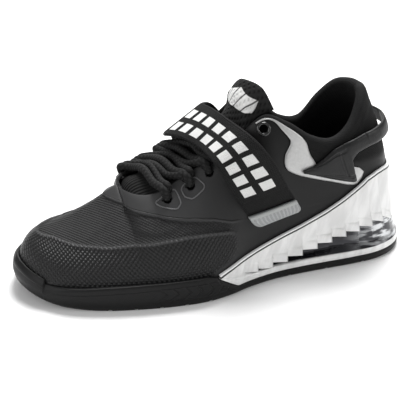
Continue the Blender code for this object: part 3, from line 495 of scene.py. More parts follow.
def outsole_section(r):
    """The rubber's section at ring place r, from its inner edge over the rim and under to the middle."""
    row, top = row_of(r), wall_top(r)
    rim_in = sole_edge(r, RIM)
    if row < WEDGE_ROW:
        low = footbed(rim_in[0])
        clear = OVERLAY + FIT_GAP
        heights = (low, (low + top) / 2, top)
        inner = [skin_point(r, share_at(r, z), clear) for z in heights]
        inner[0] = skin_point(r, 0.0, clear)
        for point, z in zip(inner, heights):
            point[2] = z
    else:
        low = thin_rubber(row)
        thin = 0.6 if row < 9.2 else 1.0
        inner = [sole_edge(r, RIM * share, z) for share, z in (
            (1.0, low), ((1 + thin) / 2, (low + top) / 2), (thin, top))]
    lean = RIM * 0.9 * (1 - smooth(2.5, 4, row))
    inset = ring_value("bottom_inset", r) * BALL_WIDTH
    base = sole_edge(r, inset)
    base[2] = ground(base[0])
    belly = sole_edge(r, 0.0, base[2] + (top - base[2]) * BELLY_SHARE)
    side = sole_edge(r, 0.35 * inset, base[2] + (top - base[2]) * SIDE_SHARE)
    corners = [*inner, sole_edge(r, 0.15 * RIM + lean, top),
               sole_edge(r, 0.4 * lean, top - 0.0015 - 0.5 * lean), belly, side, base]
    middle = base * 0.98 + np.array([0, 0, base[2] * 0.02])
    return rounded([*corners, middle], (0.0005, 0.002, 0.0006, 0.0009, 0.0016, 0.003, 0.0016, 0.0012))[:-1]


outsole_rows = (2.40, 2.46, 2.48, 2.50, WEDGE_ROW - 0.01, WEDGE_ROW + 0.01, 9.19, 9.21)
places = fine_places(outsole_rows, step=RUBBER_ROW)
sections = np.array([outsole_section(r) for r in places])
z = sections[..., 2]
outsole_uv = np.stack([arc_lengths(sections[:, [BELLY_LINE]], 0) + 0 * z, z], -1)
outsole = loft("rubber_outsole", sections, along=True, more_faces=bridges(*z.shape, 0), uv=outsole_uv,
               notes={"drop": z - np.array([wall_top(r) for r in places])[:, None]})

bpy.ops.object.select_all(action="DESELECT")
for share in GROOVES:
    bpy.ops.mesh.primitive_cube_add(size=1, location=((share - 0.5) * SHOE_LENGTH, 0, 0),
                                    scale=(GROOVE_WIDTH, 2 * BALL_WIDTH, 2 * GROOVE_DEPTH))
    cut_away(outsole, bpy.context.object)

rubber = Paint("black rubber", (0.006, 0.006, 0.006), 0.55, specular_ior_level=0.20)
u, v, _ = rubber.parts(rubber.lay())
drop = rubber.note("drop")
NOTCH_PITCH, NOTCH_TIP = 0.0085, 0.0115
notch = abs(((u + abs(v - NOTCH_TIP) * 0.9) / NOTCH_PITCH) % 1.0 - 0.5)
notch_zone = rubber.between(v, 0.0065, 0.0160, 0.0008) * rubber.between(u, 0.118, 0.168, 0.012)
rubber.bump(rubber.rise(notch, 0.0, 0.16) * notch_zone, 0.0006)
rubber.bump(rubber.rise(drop, -0.0052, -0.0044), 0.0004)
rubber.bump(rubber.noise(900.0, detail=2.0), 0.00006)
rubber.bump(rubber.noise(55.0), 0.00025)
scuff = rubber.rise(rubber.noise(24.0, detail=6.0, rough=0.7), 0.48, 0.75)
low_down = 1 - rubber.rise(v, 0.0, 0.006)
rubber.feed("Base Color", rubber.mix(scuff * 0.35 + low_down * 0.12, (0.0035, 0.0035, 0.0036),
                                     (0.016, 0.0157, 0.0152)))
rubber.feed("Roughness", scuff * 0.16 + 0.46)
finish_piece(outsole, rubber, "outsole")

# Heel wedge: one hard plastic moulding with a silver finish, a lifted block whose shell cups quarters and heel.
# Slanting teeth overlap down its side, over a recess finished in dark chrome and a lip along the rubber.
FLANGE = 0.0042
RECESS_DEPTH = 0.0055
SHELL = 0.0022
TOOTH_STEP = 0.0034
TOOTH_PROUD = 0.0016
TOOTH_PLATE = 0.0068
SPAN_SHARE = 0.36
SPAN_LEAST = 0.0012
FLANK_LINE = 20
BLACK_LINE = (0.0010, 0.0022)
TEETH_START_ROW, TEETH_END_ROW, TEETH = 9.7, 16.1, 11
TOOTH_PITCH = (TEETH_END_ROW - TEETH_START_ROW) / TEETH
WEDGE_TOP = ((8.3, 0.140), (9, 0.172), (10, 0.215), (11, 0.262), (12, 0.312), (13, 0.372), (14, 0.446),
             (15, 0.528), (15.6, 0.552), (16, 0.556), (17, 0.545), (18, 0.538))


def wedge_section(r, tooth=None):
    """The wedge's section at ring place r. On a tooth, tooth runs from 0 at its front to 1 at its step."""
    row = row_of(r)
    top = TAB_HEIGHT * by_rows(WEDGE_TOP, row)
    seat = thin_rubber(row) + FIT_GAP
    rim = wall_top(r) + FIT_GAP
    floor = footbed(sole_edge(r, RIM)[0])
    clear = OVERLAY + 1.3 * FIT_GAP
    heights = [floor + (top - floor) * part for part in (0.0, 0.33, 0.67, 1.0)]
    shares = [share_at(r, z) for z in heights]
    inner = [skin_point(r, s, clear) for s in shares]
    inner[0][2], inner[-1][2] = floor, top
    outer_top = skin_point(r, shares[-1], clear + SHELL)
    outer_top[2] = top
    deep = RECESS_DEPTH * smooth(9.6, 11.5, row) * (1 - 0.8 * smooth(13.2, 15.0, row))
    opening = smooth(9.5, 10.5, row)
    flange = rim + min(FLANGE, 0.30 * (top - rim))
    span = (top - flange) * SPAN_SHARE * smooth(9.2, 13.8, row) * (1 - 0.45 * smooth(15.0, 18, row))
    if tooth is not None:
        span = max(SPAN_LEAST, span - TOOTH_STEP * (tooth - 0.5))
    mouth = flange + max(SPAN_LEAST * opening, span) + 0.15 * (1 - opening) * (top - flange)
    edge = sole_edge(r)
    drift = outer_top - edge
    proud = TOOTH_PROUD * tooth if tooth is not None else 0.0

    def side_point(z, inset):
        """On the shell's flared side at height z, moved in by inset."""
        bow = max(0.0, (z - flange) / max(top - flange, 1e-6)) ** 0.8
        point = edge + drift * bow - outward(r) * inset
        point[2] = z
        return point

    plate = min(TOOTH_PLATE, 0.55 * (top - mouth))
    shell = [side_point(mouth + part * (top - mouth), 0.0) for part in (0.92, 0.8)]
    shell += [side_point(mouth + part * plate, -proud * raised)
              for part, raised in ((1.02, 0.0), (0.86, 0.55), (0.08, 1.0))]
    corners = [*inner, outer_top, *shell, side_point(mouth, 0.0006 - proud),
               side_point(mouth - 0.02 * (mouth - flange), deep + 0.0006),
               side_point(flange + 0.25 * (mouth - flange), deep + 0.0008),
               sole_edge(r, 0.0006, flange), sole_edge(r, 0.0, rim),
               sole_edge(r, RIM + FIT_GAP, rim), sole_edge(r, RIM + FIT_GAP, seat)]
    radii = (0.0, 0.0, 0.0003, 0.0005, 0.001, 0.002, 0.002, 0.002, 0.0008, 0.0005, 0.0008, 0.0012,
             0.0006, 0.0005, 0.0002)
    return rounded(corners, radii, steps=3), top, mouth, flange


TOOTH_PARTS = (0.012, 0.1, 0.25, 0.4, 0.55, 0.7, 0.85, 0.96, 0.985)
stations = [(row, None) for row in np.arange(WEDGE_ROW + 0.17, TEETH_START_ROW, 0.1)]
stations += [(TEETH_START_ROW + number * TOOTH_PITCH + part * TOOTH_PITCH, (part - 0.012) / 0.973)
             for number in range(TEETH) for part in TOOTH_PARTS]
stations += [(row, None) for row in np.arange(TEETH_END_ROW + 0.08, ROWS - 1, 0.1)]
stations += [(ROWS - 1.0, None), *((RING - row, tooth) for row, tooth in reversed(stations))]
made = [wedge_section(r, tooth) for r, tooth in stations]
sections = np.array([section for section, *_ in made])
top, mouth, lip = (np.array([marks[k] for marks in made])[:, None] for k in (1, 2, 3))
z = sections[..., 2]
count, size = z.shape
closing = [list(range(size)), [(count - 1) * size + j for j in reversed(range(size))],
           [size - 1, 0, (count - 1) * size, count * size - 1], *bridges(count, size, 1)]
wedge_uv = np.stack([arc_lengths(sections[:, [FLANK_LINE]], 0) + 0 * z, z], -1)
wedge = loft("silver_heel_wedge", sections, more_faces=closing, uv=wedge_uv, notes={
    "below_top": top - z, "above_mouth": z - mouth, "above_lip": z - lip,
    "row": np.array([row_of(r) for r, _ in stations])[:, None] + 0 * z,
    "tooth": np.array([tooth or 0.0 for _, tooth in stations])[:, None] + 0 * z})

silver = Paint("silver heel finish", (0.60, 0.60, 0.59), 0.34, 0.15, coat_weight=0.25, coat_roughness=0.15)
below_top, above_mouth, above_lip, row, tooth = (silver.note(name) for name in (
    "below_top", "above_mouth", "above_lip", "row", "tooth"))
u, v, _ = silver.parts(silver.lay())
in_recess = silver.rise(above_mouth, 0.0004, -0.0002) * silver.rise(above_lip, 0.0001, 0.0007)
in_recess = in_recess * silver.rise(row, 9.6, 10.4)
black_line = silver.between(below_top, *BLACK_LINE, 0.00015)
bevel = 1 - silver.rise(below_top, 0.0008, 0.0010)
cloud = silver.noise(38.0, detail=4.0)
streak = silver.noise(1.0, silver.vector(u * 120.0 - v * 60.0, u * 14.0 + v * 22.0), detail=4.0)
soft_white = silver.mix(silver.rise(streak, 0.35, 0.65) * 0.6 + cloud * 0.4, (0.57, 0.57, 0.565),
                        (0.78, 0.78, 0.775))
swirl = silver.rise(silver.noise(1.0, silver.vector(u * 60.0 + v * 90.0, v * 260.0), detail=2.0), 0.42, 0.62)
chrome = silver.mix(swirl * silver.rise(row, 13.6, 15.6), (0.020, 0.020, 0.024), (0.52, 0.53, 0.54))
low_on_tooth = silver.rise(above_mouth, -0.0004, 0.0) * (1 - silver.rise(above_mouth, 0.0, 0.0070))
shade = silver.rise(tooth, 0.90, 1.0) * low_on_tooth * silver.rise(row, 9.6, 9.8)
under_edge = silver.between(above_mouth, -0.0002, 0.0006, 0.0002) * silver.rise(row, 9.8, 10.2)
silver.feed("Base Color", silver.coats(
    soft_white, (shade * 0.85, (0.10, 0.10, 0.11)), (under_edge * 0.7, (0.86, 0.86, 0.85)), (in_recess, chrome),
    (bevel, (0.88, 0.88, 0.88)), (black_line, (0.006, 0.006, 0.006))))
silver.feed("Metallic", in_recess * 0.55 + 0.15 - black_line * 0.15)
silver.feed("Roughness", 0.34 + cloud * 0.08 - in_recess * 0.20 + black_line * 0.2)
brushed = silver.noise(1.0, silver.node("Mapping", inputs={0: silver.place(), 3: (260.0, 260.0, 2400.0)}))
silver.bump(brushed, 0.00003)
silver.bump(streak, 0.00015)
silver.bump(silver.between(below_top, *BLACK_LINE, 0.0003) * -1.0, 0.0005)
finish_piece(wedge, silver, "heel_wedge")

# Upper: one moulded and knitted shell with a padded collar and a tall heel tab. A dimpled toe band and a smooth
# cage are fused on and stand proud of the diagonal mesh between them; the cage is punched for the lace.
WALL = 0.0020
COLLAR_PAD = 0.0075
EYELET_HOLE = 0.0030
BAND_TOE = ((0, 0.80), (2.8, 0.70), (4, 0.54))
BAND_TOP = ((4, 0.316), (5.1, 0.321), (5.9, 0.338), (6.8, 0.360), (7.6, 0.378), (8.5, 0.384), (9.2, 0.380),
            (9.6, 0.360), (18, 0.360))
BAND_REAR = ((0.10, 8.2), (0.164, 8.5), (0.213, 9.3), (0.274, 9.65), (0.337, 9.65), (0.37, 9.4))
STAY_TOE = ((0, 0.965), (5.4, 0.965))
STAY_FOOT = ((5.4, 0.490), (5.7, 0.487), (6.6, 0.475), (7.0, 0.461), (7.7, 0.446), (8.7, 0.440), (9.4, 0.415),
             (18, 0.415))
EYELETS = (
    # lateral_row, medial_row, share
    (7.40, 6.62, 0.880),
    (8.18, 7.15, 0.870),
    (8.90, 7.88, 0.880),
    (9.55, 8.60, 0.890),
    (10.92, 10.80, 0.910),
)
CREASES = (
    # side, row, share, row_reach, share_reach, turn, depth
    (-1, 5.6, 0.62, 1.3, 0.030, 0.10, 0.00045),
    (-1, 6.5, 0.50, 1.1, 0.026, 0.06, 0.00040),
    (1, 5.8, 0.60, 1.4, 0.030, 0.08, 0.00050),
    (1, 6.8, 0.48, 1.1, 0.026, 0.05, 0.00040),
    (-1, 12.6, 0.80, 0.8, 0.050, -0.16, 0.00060),
    (-1, 13.4, 0.72, 0.8, 0.045, 0.10, 0.00045),
    (1, 12.8, 0.78, 0.9, 0.050, -0.14, 0.00065),
    (1, 14.2, 0.70, 0.8, 0.045, 0.08, 0.00045),
    (-1, 16.2, 0.86, 0.9, 0.030, 0.05, 0.00050),
    (1, 16.0, 0.84, 0.9, 0.030, 0.05, 0.00050),
)
BAND_LINES, MESH_LINES, CAGE_LINES, LINING_LINES, ROLL_LINES = 24, 16, 26, 18, 8
BAND_TO_CAGE = 0.036
EDGE_STEP = 0.007
ROW_LENGTH = 0.0175


def line_share(r, toe_table, table):
    """The share at which one of the overlay lines crosses ring place r."""
    row = row_of(r)
    if row < table[0][0]:
        return float(by_rows(toe_table, row))
    return share_at(r, by_rows(table, row) * TAB_HEIGHT)


def crease(places, shares):
    """Soft troughs with low ridges beside them, where the vamp flexes and the ankle folds."""
    total = np.zeros_like(shares)
    row = np.array([row_of(r) for r in places])[:, None]
    side = np.where(np.array(places) < RING / 2, -1, 1)[:, None]
    for which, at, share, row_reach, share_reach, turn, depth in CREASES:
        off = (shares - share - turn * (row - at)) / share_reach
        fade = np.exp(-((row - at) / row_reach) ** 2) * (side == which)
        total -= depth * fade * (np.exp(-off ** 2) - 0.5 * np.exp(-(abs(off) - 2.0) ** 2))
    return total


places = fine_places((5.4, 6.0, 6.02, 6.25, 6.5, 6.75))
row = np.array([row_of(r) for r in places])[:, None]
band = np.array([line_share(r, BAND_TOE, BAND_TOP) for r in places])[:, None]
stay = np.array([line_share(r, STAY_TOE, STAY_FOOT) for r in places])[:, None]
stay = np.maximum(stay, band + BAND_TO_CAGE)
shares = np.concatenate([band * np.linspace(0, 1, BAND_LINES),
                         band + EDGE_STEP + (stay - band - 2 * EDGE_STEP) * np.linspace(0, 1, MESH_LINES),
                         stay + (1 - stay) * np.linspace(0, 1, CAGE_LINES)], 1)
in_band, in_cage = (np.repeat(flags, (BAND_LINES, MESH_LINES, CAGE_LINES))[None]
                    for flags in ([1.0, 0.0, 0.0], [0.0, 0.0, 1.0]))
last_points = last(places, shares)
up_length = arc_lengths(last_points, 1)
band_gap, stay_gap = (up_length - up_length[:, [line]] for line in (BAND_LINES - 1, BAND_LINES + MESH_LINES))
rear_gap = (by_rows(BAND_REAR, last_points[..., 2] / TAB_HEIGHT) - row) * ROW_LENGTH
band_lift = 0.0009 * np.exp(-((band_gap + 0.0016) / 0.0013) ** 2) * smooth(-0.001, 0.004, rear_gap)
stay_lift = 0.0003 * np.exp(-((stay_gap - 0.0012) / 0.0010) ** 2) * smooth(5.3, 5.6, row)
lift = in_band * (OVERLAY + band_lift) + (1 - in_band - in_cage) * OVERLAY * smooth(9.1, 9.7, row)
lift = lift + in_cage * (OVERLAY * smooth(5.3, 5.5, row) + stay_lift) + crease(places, shares)
outer = skin(places, shares, lift)
inner_shares = np.repeat(np.linspace(0, 1, LINING_LINES)[None], len(places), 0)
pad = np.array([max(0.0, ring_value("pad", row_of(r))) for r in places])[:, None]
swell = WALL + pad * (COLLAR_PAD - WALL) * smooth(0.35, 0.85, inner_shares)
quilting = 0.0005 * pad * np.sin(inner_shares * 26.0) * smooth(0.45, 0.6, inner_shares)
inner = skin(places, inner_shares, -swell + quilting)
middle, half = (outer[:, -1] + inner[:, -1]) / 2, (outer[:, -1] - inner[:, -1]) / 2
tops, nearly = (last(places, np.full((len(places), 1), s))[:, 0] for s in (1.0, 0.98))
onward = tops - nearly
throat_way = last([THROAT_ROW], [[1.0]])[0, 0] - last([THROAT_ROW - 0.1], [[1.0]])[0, 0]
onward = np.where(row <= THROAT_ROW, throat_way, onward)
onward -= half * ((onward * half).sum(1) / (half * half).sum(1))[:, None]
onward *= (np.linalg.norm(half, axis=1) / np.linalg.norm(onward, axis=1))[:, None]
turns = np.linspace(0, math.pi, ROLL_LINES + 2)[1:-1]
roll = np.stack([middle + half * math.cos(a) + onward * math.sin(a) for a in turns], 1)
inner = inner[:, ::-1]
whole = np.concatenate([outer, roll, inner], 1)
size, rim = whole.shape[1], outer.shape[1]
open_top = np.minimum(row, np.roll(row, -1)) >= THROAT_ROW
on_edge = (np.arange(size) >= rim - 1) & (np.arange(size) < rim + ROLL_LINES)
keep = open_top | ~on_edge[None]


def spread(outside, at_roll, inside):
    """One note's values over outside, rolled edge and lining."""
    return np.concatenate([outside + 0 * shares, np.full((len(places), ROLL_LINES), at_roll),
                           np.full(inner.shape[:2], inside)], 1)


def facing(r, share):
    """The turn that stands a tool square on the upper."""
    return Vector(last_normals([r], np.array([[share]]))[0, 0]).to_track_quat("Z", "Y")


high = up_length[:, -1:]
lay = np.stack([arc_lengths(last(places, band * 0.6), 0) + 0 * whole[..., 2],
                np.concatenate([up_length, high + 0.001 * np.arange(1, ROLL_LINES + 1),
                                high + 0.01 + 0.07 * (1 - inner_shares[:, ::-1])], 1)], -1)
upper = loft("moulded_upper", whole, around=True, along=True, keep=keep, uv=lay, notes={
    "row": row + 0 * whole[..., 2], "rise": whole[..., 2] / TAB_HEIGHT, "inside": spread(0.0, 0.5, 1.0),
    "band_gap": spread(band_gap, 0.05, 0.05), "stay_gap": spread(stay_gap, 0.05, 0.05),
    "rear_gap": spread(rear_gap, -0.05, -0.05), "below_edge": spread(high - up_length, 0.0, -0.001)})

bpy.ops.object.select_all(action="DESELECT")
for lateral, medial, share in EYELETS:
    for r in (lateral, RING - medial):
        bpy.ops.mesh.primitive_cylinder_add(vertices=32, radius=EYELET_HOLE, depth=8 * WALL,
                                            location=skin_point(r, share))
        punch = bpy.context.object
        punch.rotation_mode = "QUATERNION"
        punch.rotation_quaternion = facing(r, share)
        cut_away(upper, punch)

cloth = Paint("black mesh and cage", (0.010, 0.010, 0.010), 0.6, specular_ior_level=0.24)
u, v, _ = cloth.parts(cloth.lay())
x, y, z = cloth.parts(cloth.place())
row, rise, band_gap, stay_gap, rear_gap, below_edge, inside = (cloth.note(name) for name in (
    "row", "rise", "band_gap", "stay_gap", "rear_gap", "below_edge", "inside"))
outside = 1 - cloth.rise(inside, 0.2, 0.4)
in_band = cloth.rise(-band_gap, -0.0002, 0.0003) * cloth.rise(rear_gap, -0.0010, 0.0060) * outside
stay_side = cloth.rise(stay_gap, -0.0003, 0.0002) * cloth.rise(row, 5.35, 5.45)
above_band = 1 - cloth.rise(-band_gap, -0.0002, 0.0003)
in_mesh = above_band * (1 - stay_side) * cloth.rise(-row, -9.75, -9.1) * outside
in_knit = cloth.rise(rise, 0.60, 0.66) * cloth.rise(row, 11.6, 12.4) * outside + (1 - outside)
smooth_part = (1 - in_band) * (1 - in_mesh) * (1 - in_knit)
PIT_PITCH, STRAND_PITCH = 0.0033, 0.0017
slant, counter = (u + v * 0.9) / PIT_PITCH, (u - v * 0.9) / PIT_PITCH
pits = (slant.wave() * counter.wave()) ** 0.7 * cloth.rise(v, 0.0035, 0.0085)
strand = ((x * 0.62 + y * 0.50 + z * 0.60) / STRAND_PITCH).wave()
cross_strand = ((x * 0.62 - y * 0.50 - z * 0.60) / STRAND_PITCH).wave()
knit = ((u + v * 0.35) / 0.0011).wave() * (v / 0.0010).wave()
fine = cloth.noise(1300.0, detail=2.0)
soft = cloth.noise(46.0, detail=4.0)
cloth.bump(pits * in_band, 0.0005)
cloth.bump((strand * 0.8 + cross_strand * 0.35) * in_mesh, 0.0004)
cloth.bump(knit * in_knit, 0.00022)
cloth.bump(fine * smooth_part, 0.00004)
cloth.bump(soft, 0.0004, 0.6)
cage_edge = stay_side * (1 - cloth.rise(row, 9.4, 10.0)) * outside
seam = cloth.between(stay_gap, 0.0018, 0.0025, 0.0002) * cage_edge
collar_seam = cloth.between(below_edge, 0.0052, 0.0058, 0.0002) * cloth.rise(row, 11.6, 12.0) * outside
cloth.bump(1 - seam, 0.0004)
cloth.bump(1 - collar_seam, 0.0005)
worn = cloth.rise(cloth.noise(18.0, detail=5.0, rough=0.65), 0.45, 0.8)
rim_light = cloth.between(stay_gap, 0.0002, 0.0012, 0.0003) * cage_edge
# A lighter strip along the toe band's top edge: a painted highlight on its raised rim.
band_rim_highlight = cloth.between(-band_gap, 0.0003, 0.0022, 0.0006) * in_band
# The first layer paints the front of the upper lighter up to row 7.6, fading out by row 11: a painted highlight
# where the light falls on the cage's front.
cloth.feed("Base Color", cloth.coats(
    (0.0038, 0.0038, 0.0039), (1 - cloth.rise(row, 7.6, 11.0), (0.0330, 0.0330, 0.0336)),
    (in_band, (0.0160, 0.0160, 0.0166)), (in_band * (1 - pits) * 0.85, (0.0035, 0.0035, 0.0036)),
    (in_mesh * (strand * 0.22 + 0.70), (0.0075, 0.0075, 0.0078)),
    (in_knit * (knit * 0.4 + 0.5), (0.0040, 0.0040, 0.0041)), (worn * 0.15, (0.022, 0.022, 0.022)),
    (seam * 0.9, (0.002, 0.002, 0.002)), (rim_light * 0.6, (0.034, 0.034, 0.035)),
    (band_rim_highlight * 0.9, (0.044, 0.044, 0.045))))
cloth.feed("Roughness", 0.42 - in_band * 0.03 + in_mesh * 0.16 + in_knit * 0.40 + worn * 0.05 + fine * 0.04)
finish_piece(upper, cloth, "upper")

# Eyelet outlines: thin beads moulded on the cage round the two front eyelets of each side.
# They are painted a lighter grey than the cage, a painted highlight along the raised beads, so that their five
# corners read from afar.
EYELET_OUTLINES = (
    # lateral (row, share) corners, then how much further forward the medial ones lie
    (((6.96, 0.885), (7.48, 0.965), (7.70, 0.930), (7.76, 0.770), (7.56, 0.735)), 0.70),
    (((7.86, 0.910), (8.36, 0.945), (8.70, 0.785), (8.14, 0.745), (7.90, 0.800)), 0.95),
)
OUTLINE_RADIUS = 0.00050


def circles(path, ahead, radii, sides):
    """Circles square to a path, one at each of its points."""
    ahead = ahead / np.linalg.norm(ahead, axis=1)[:, None]
    side = np.cross(ahead, (0.0, 0.0, 1.0))
    side /= np.linalg.norm(side, axis=1)[:, None]
    over = np.cross(side, ahead)
    turn = (np.arange(sides) * math.tau / sides)[None, :, None]
    return path[:, None] + radii * (np.cos(turn) * side[:, None] + np.sin(turn) * over[:, None])


bead_highlight_paint = Paint("moulded bead", (0.085, 0.085, 0.087), 0.40, specular_ior_level=0.5)
bead_highlight_paint.bump(bead_highlight_paint.noise(900.0), 0.00003)
for number, (corners, forward) in enumerate(EYELET_OUTLINES):
    for side, name in ((-1, "lateral"), (1, "medial")):
        path = []
        for (row, share), (next_row, next_share) in zip(corners, corners[1:] + corners[:1]):
            for part in np.linspace(0.12, 0.88, 9):
                at = row + (next_row - row) * part
                at = at if side < 0 else RING - (at - forward)
                path.append(skin_point(at, share + (next_share - share) * part, OVERLAY + 0.0001))
        path = np.array(path)
        for _ in range(2):
            path = 0.25 * np.roll(path, 1, axis=0) + 0.5 * path + 0.25 * np.roll(path, -1, axis=0)
        ahead = np.roll(path, -1, axis=0) - np.roll(path, 1, axis=0)
        bead = loft(f"eyelet_outline_{number}_{name}", circles(path, ahead, OUTLINE_RADIUS, 8), around=True,
                    along=True)
        finish_piece(bead, bead_highlight_paint, "upper")

# Insole: a die-cut foam footbed under black cloth, laid loose inside the upper.
# Its edge is rounded, and the cloth is worn a little lighter in patches.
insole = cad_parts["insole"].copy()
insole.data = insole.data.copy()
insole.name = "cloth_insole"
bpy.context.scene.collection.objects.link(insole)
bpy.ops.object.select_all(action="DESELECT")
insole.select_set(True)
bpy.context.view_layer.objects.active = insole
bpy.ops.object.mode_set(mode="EDIT")
bpy.ops.mesh.select_all(action="SELECT")
bpy.ops.mesh.remove_doubles(threshold=0.00001)
bpy.ops.mesh.tris_convert_to_quads()
bpy.ops.object.mode_set(mode="OBJECT")
finer = insole.modifiers.new("rounding", "SUBSURF")
finer.levels = finer.render_levels = 2
bpy.ops.object.modifier_apply(modifier=finer.name)
bpy.ops.object.shade_smooth()
lining = Paint("black lining cloth", (0.010, 0.010, 0.011), 0.9, specular_ior_level=0.2)
x, y, _ = lining.parts(lining.place())
THREAD = 0.0016
weave = (x / THREAD).wave() * (y / THREAD).wave()
lining.bump(weave, 0.0002)
wear = lining.rise(lining.noise(30.0, detail=5.0), 0.4, 0.75)
lining.feed("Base Color", lining.mix(weave * 0.3 + wear * 0.4, (0.008, 0.008, 0.009), (0.026, 0.026, 0.027)))
finish_piece(insole, lining, "insole")

# Tongue: padded, of ribbed knit under the laces and open spacer mesh at its top, with a plain white patch.
# It lies under both throat edges and spreads into two shoulders above the collar.
TONGUE_GAP = 0.0012
TONGUE_THICKNESS = 0.0065
TONGUE = (
    # row, crest_rise, reach, edge, thickness
    (6.00, 0.512, 0.78, 0.90, 0.40),
    (6.60, 0.560, 0.88, 1.00, 0.45),
    (7.00, 0.588, 0.86, 1.00, 0.55),
    (7.50, 0.612, 0.84, 1.00, 0.60),
    (8.00, 0.644, 0.84, 1.00, 0.65),
    (8.50, 0.690, 0.84, 1.00, 0.70),
    (9.00, 0.760, 0.84, 1.00, 0.80),
    (9.50, 0.850, 0.84, 1.00, 0.90),
    (10.0, 0.940, 0.85, 1.00, 1.00),
)
TONGUE_TOP = (
    # along, crest_rise, half_width, edge_rise, edge_back
    (0.562, 1.030, 0.168, 0.915, 0.024),
    (0.582, 1.108, 0.215, 0.985, 0.048),
)
TONGUE_SHOULDER = ((-1, 1.0, 1.0), (-0.62, 0.12, 0.55), (0, 0.0, 0.0), (0.55, 0.38, -0.10), (1, 1.2, -0.35))
TONGUE_LINES, TONGUE_POINTS, CONTROL_POINTS = 150, 57, 13


def curve_through(controls, count):
    """Points on a smooth open curve through the control points."""
    controls = np.array(controls, float)
    padded = np.concatenate([2 * controls[:1] - controls[1:2], controls, 2 * controls[-1:] - controls[-2:-1]])
    places = np.linspace(0, len(controls) - 1, count)
    i = np.minimum(places.astype(int), len(controls) - 2)
    t = (places - i).reshape(-1, *[1] * (controls.ndim - 1))
    a, b, c, d = (padded[i + k] for k in range(4))
    return b + 0.5 * t * (c - a + t * (2 * a - 5 * b + 4 * c - d + t * (3 * (b - c) + d - a)))


def tongue_lines():
    """Control lines across the tongue's face, from its toe end to its top."""
    lines = []
    for row, crest, reach, edge, _ in TONGUE:
        sides = []
        for r, share in ((row, reach), (row, edge), (RING - row, edge), (RING - row, reach)):
            pad = max(0.0, ring_value("pad", row))
            wall = WALL + pad * (COLLAR_PAD - WALL) * smooth(0.35, 0.85, share)
            sides.append(skin_point(r, share, -(wall + TONGUE_GAP)))
        top = (sides[1] + sides[2]) / 2
        top[2] = crest * TAB_HEIGHT
        lines.append([*sides[:2], top, *sides[2:]])
    centre = lines[-1][2][1]
    for along, crest, half, edge, back in TONGUE_TOP:
        x = (along - 0.5) * SHOE_LENGTH - PLAN_SHIFT[0]
        lines.append([(x + back * SHOE_LENGTH * setback, centre + side * half * BALL_WIDTH,
                       (crest + (edge - crest) * drop) * TAB_HEIGHT)
                      for side, drop, setback in TONGUE_SHOULDER])
    return np.array(lines, float)


def face_normals(grid):
    """Upward normals of a grid of points."""
    found = np.cross(np.gradient(grid, axis=0), np.gradient(grid, axis=1))
    found /= np.linalg.norm(found, axis=2)[..., None]
    return found * np.sign(found[:, grid.shape[1] // 2, 2])[:, None, None]


def padded_sheet(name, over, normals, depth, notes=None, uv=None):
    """A closed sheet under its face, with its edges drawn round."""
    under = over - normals * depth[..., None]
    loops = np.concatenate([over, under[:, ::-1]], 1)
    count, size = loops.shape[:2]
    ends = [[line * size + k for k in (j, j + 1, size - 2 - j, size - 1 - j)]
            for j in range(size // 2 - 1) for line in (0, count - 1)]
    both = {key: np.concatenate([note, note[:, ::-1]], 1) for key, note in (notes or {}).items()}
    both["back"] = np.concatenate([np.zeros(over.shape[:2]), np.ones(over.shape[:2])], 1)
    uv = np.concatenate([uv, uv[:, ::-1]], 1)
    return loft(name, loops, around=True, more_faces=ends, notes=both, uv=uv)


def own_lay(grid):
    """Lengths along and across a grid, in metres, with the middle of each line at nought."""
    along, across = arc_lengths(grid, 0), arc_lengths(grid, 1)
    middle = grid.shape[1] // 2
    return np.stack([along[:, middle:middle + 1] + 0 * across, across - across[:, middle:middle + 1]], -1)


tongue_controls = np.array([curve_through(line, CONTROL_POINTS) for line in tongue_lines()])
tongue_normals = face_normals(tongue_controls)
control_lines = np.stack([curve_through(line, TONGUE_POINTS) for line in tongue_lines()])
tongue_face = curve_through(control_lines, TONGUE_LINES)
fine_normals = face_normals(tongue_face)
tongue_uv = own_lay(tongue_face)
thick = np.interp(np.linspace(0, len(tongue_controls) - 1, TONGUE_LINES), np.arange(len(tongue_controls)),
                  [row[4] for row in TONGUE] + [0.9, 0.5])[:, None]
edge, end = np.linspace(-1, 1, TONGUE_POINTS)[None], np.linspace(-1, 1, TONGUE_LINES)[:, None]
rounding = np.sqrt(np.clip(1 - np.abs(edge) ** 6, 0.12, 1)) * np.sqrt(np.clip(1 - end ** 30, 0.10, 1))
tongue_face = tongue_face - fine_normals * ((1 - rounding) * 0.0012)[..., None]
tongue = padded_sheet("padded_tongue", tongue_face, fine_normals, TONGUE_THICKNESS * thick * rounding,
                      uv=tongue_uv, notes={"to_top": tongue_uv[-1:, :, 0] - tongue_uv[..., 0]})
quilt = Paint("tongue knit", (0.006, 0.006, 0.006), 0.85, specular_ior_level=0.2)
u, v, _ = quilt.parts(quilt.lay())
to_top, back = quilt.note("to_top"), quilt.note("back")
open_mesh = quilt.rise(-to_top, -0.046, -0.040)
RIB_PITCH, HOLE_PITCH = 0.0026, 0.0048
ribs = (v / RIB_PITCH).wave()
holes = (((u + v) / HOLE_PITCH).wave() * ((u - v) / HOLE_PITCH).wave()) ** 1.5
quilt.bump(ribs * (1 - open_mesh), 0.0007)
quilt.bump(holes * open_mesh * -1.0, 0.0009)
quilt.bump(quilt.noise(900.0), 0.0001)
quilt.bump(quilt.noise(40.0), 0.0008)
fuzz = quilt.noise(220.0, detail=4.0)
_, y, z = quilt.parts(quilt.place())
patch = quilt.between(y, -0.0095, 0.0245, 0.0002) * quilt.rise(z + abs(y - 0.003) * 0.12, 0.1213, 0.1217)
patch = patch * (1 - quilt.rise(z + abs(y - 0.004) * 0.42, 0.1343, 0.1347)) * (1 - back)
slot_line = 1 - quilt.between((y / 0.0085 + z / 0.017) % 1.0, 0.44, 0.56, 0.03) * 0.9
quilt.bump(patch * slot_line, 0.0004)
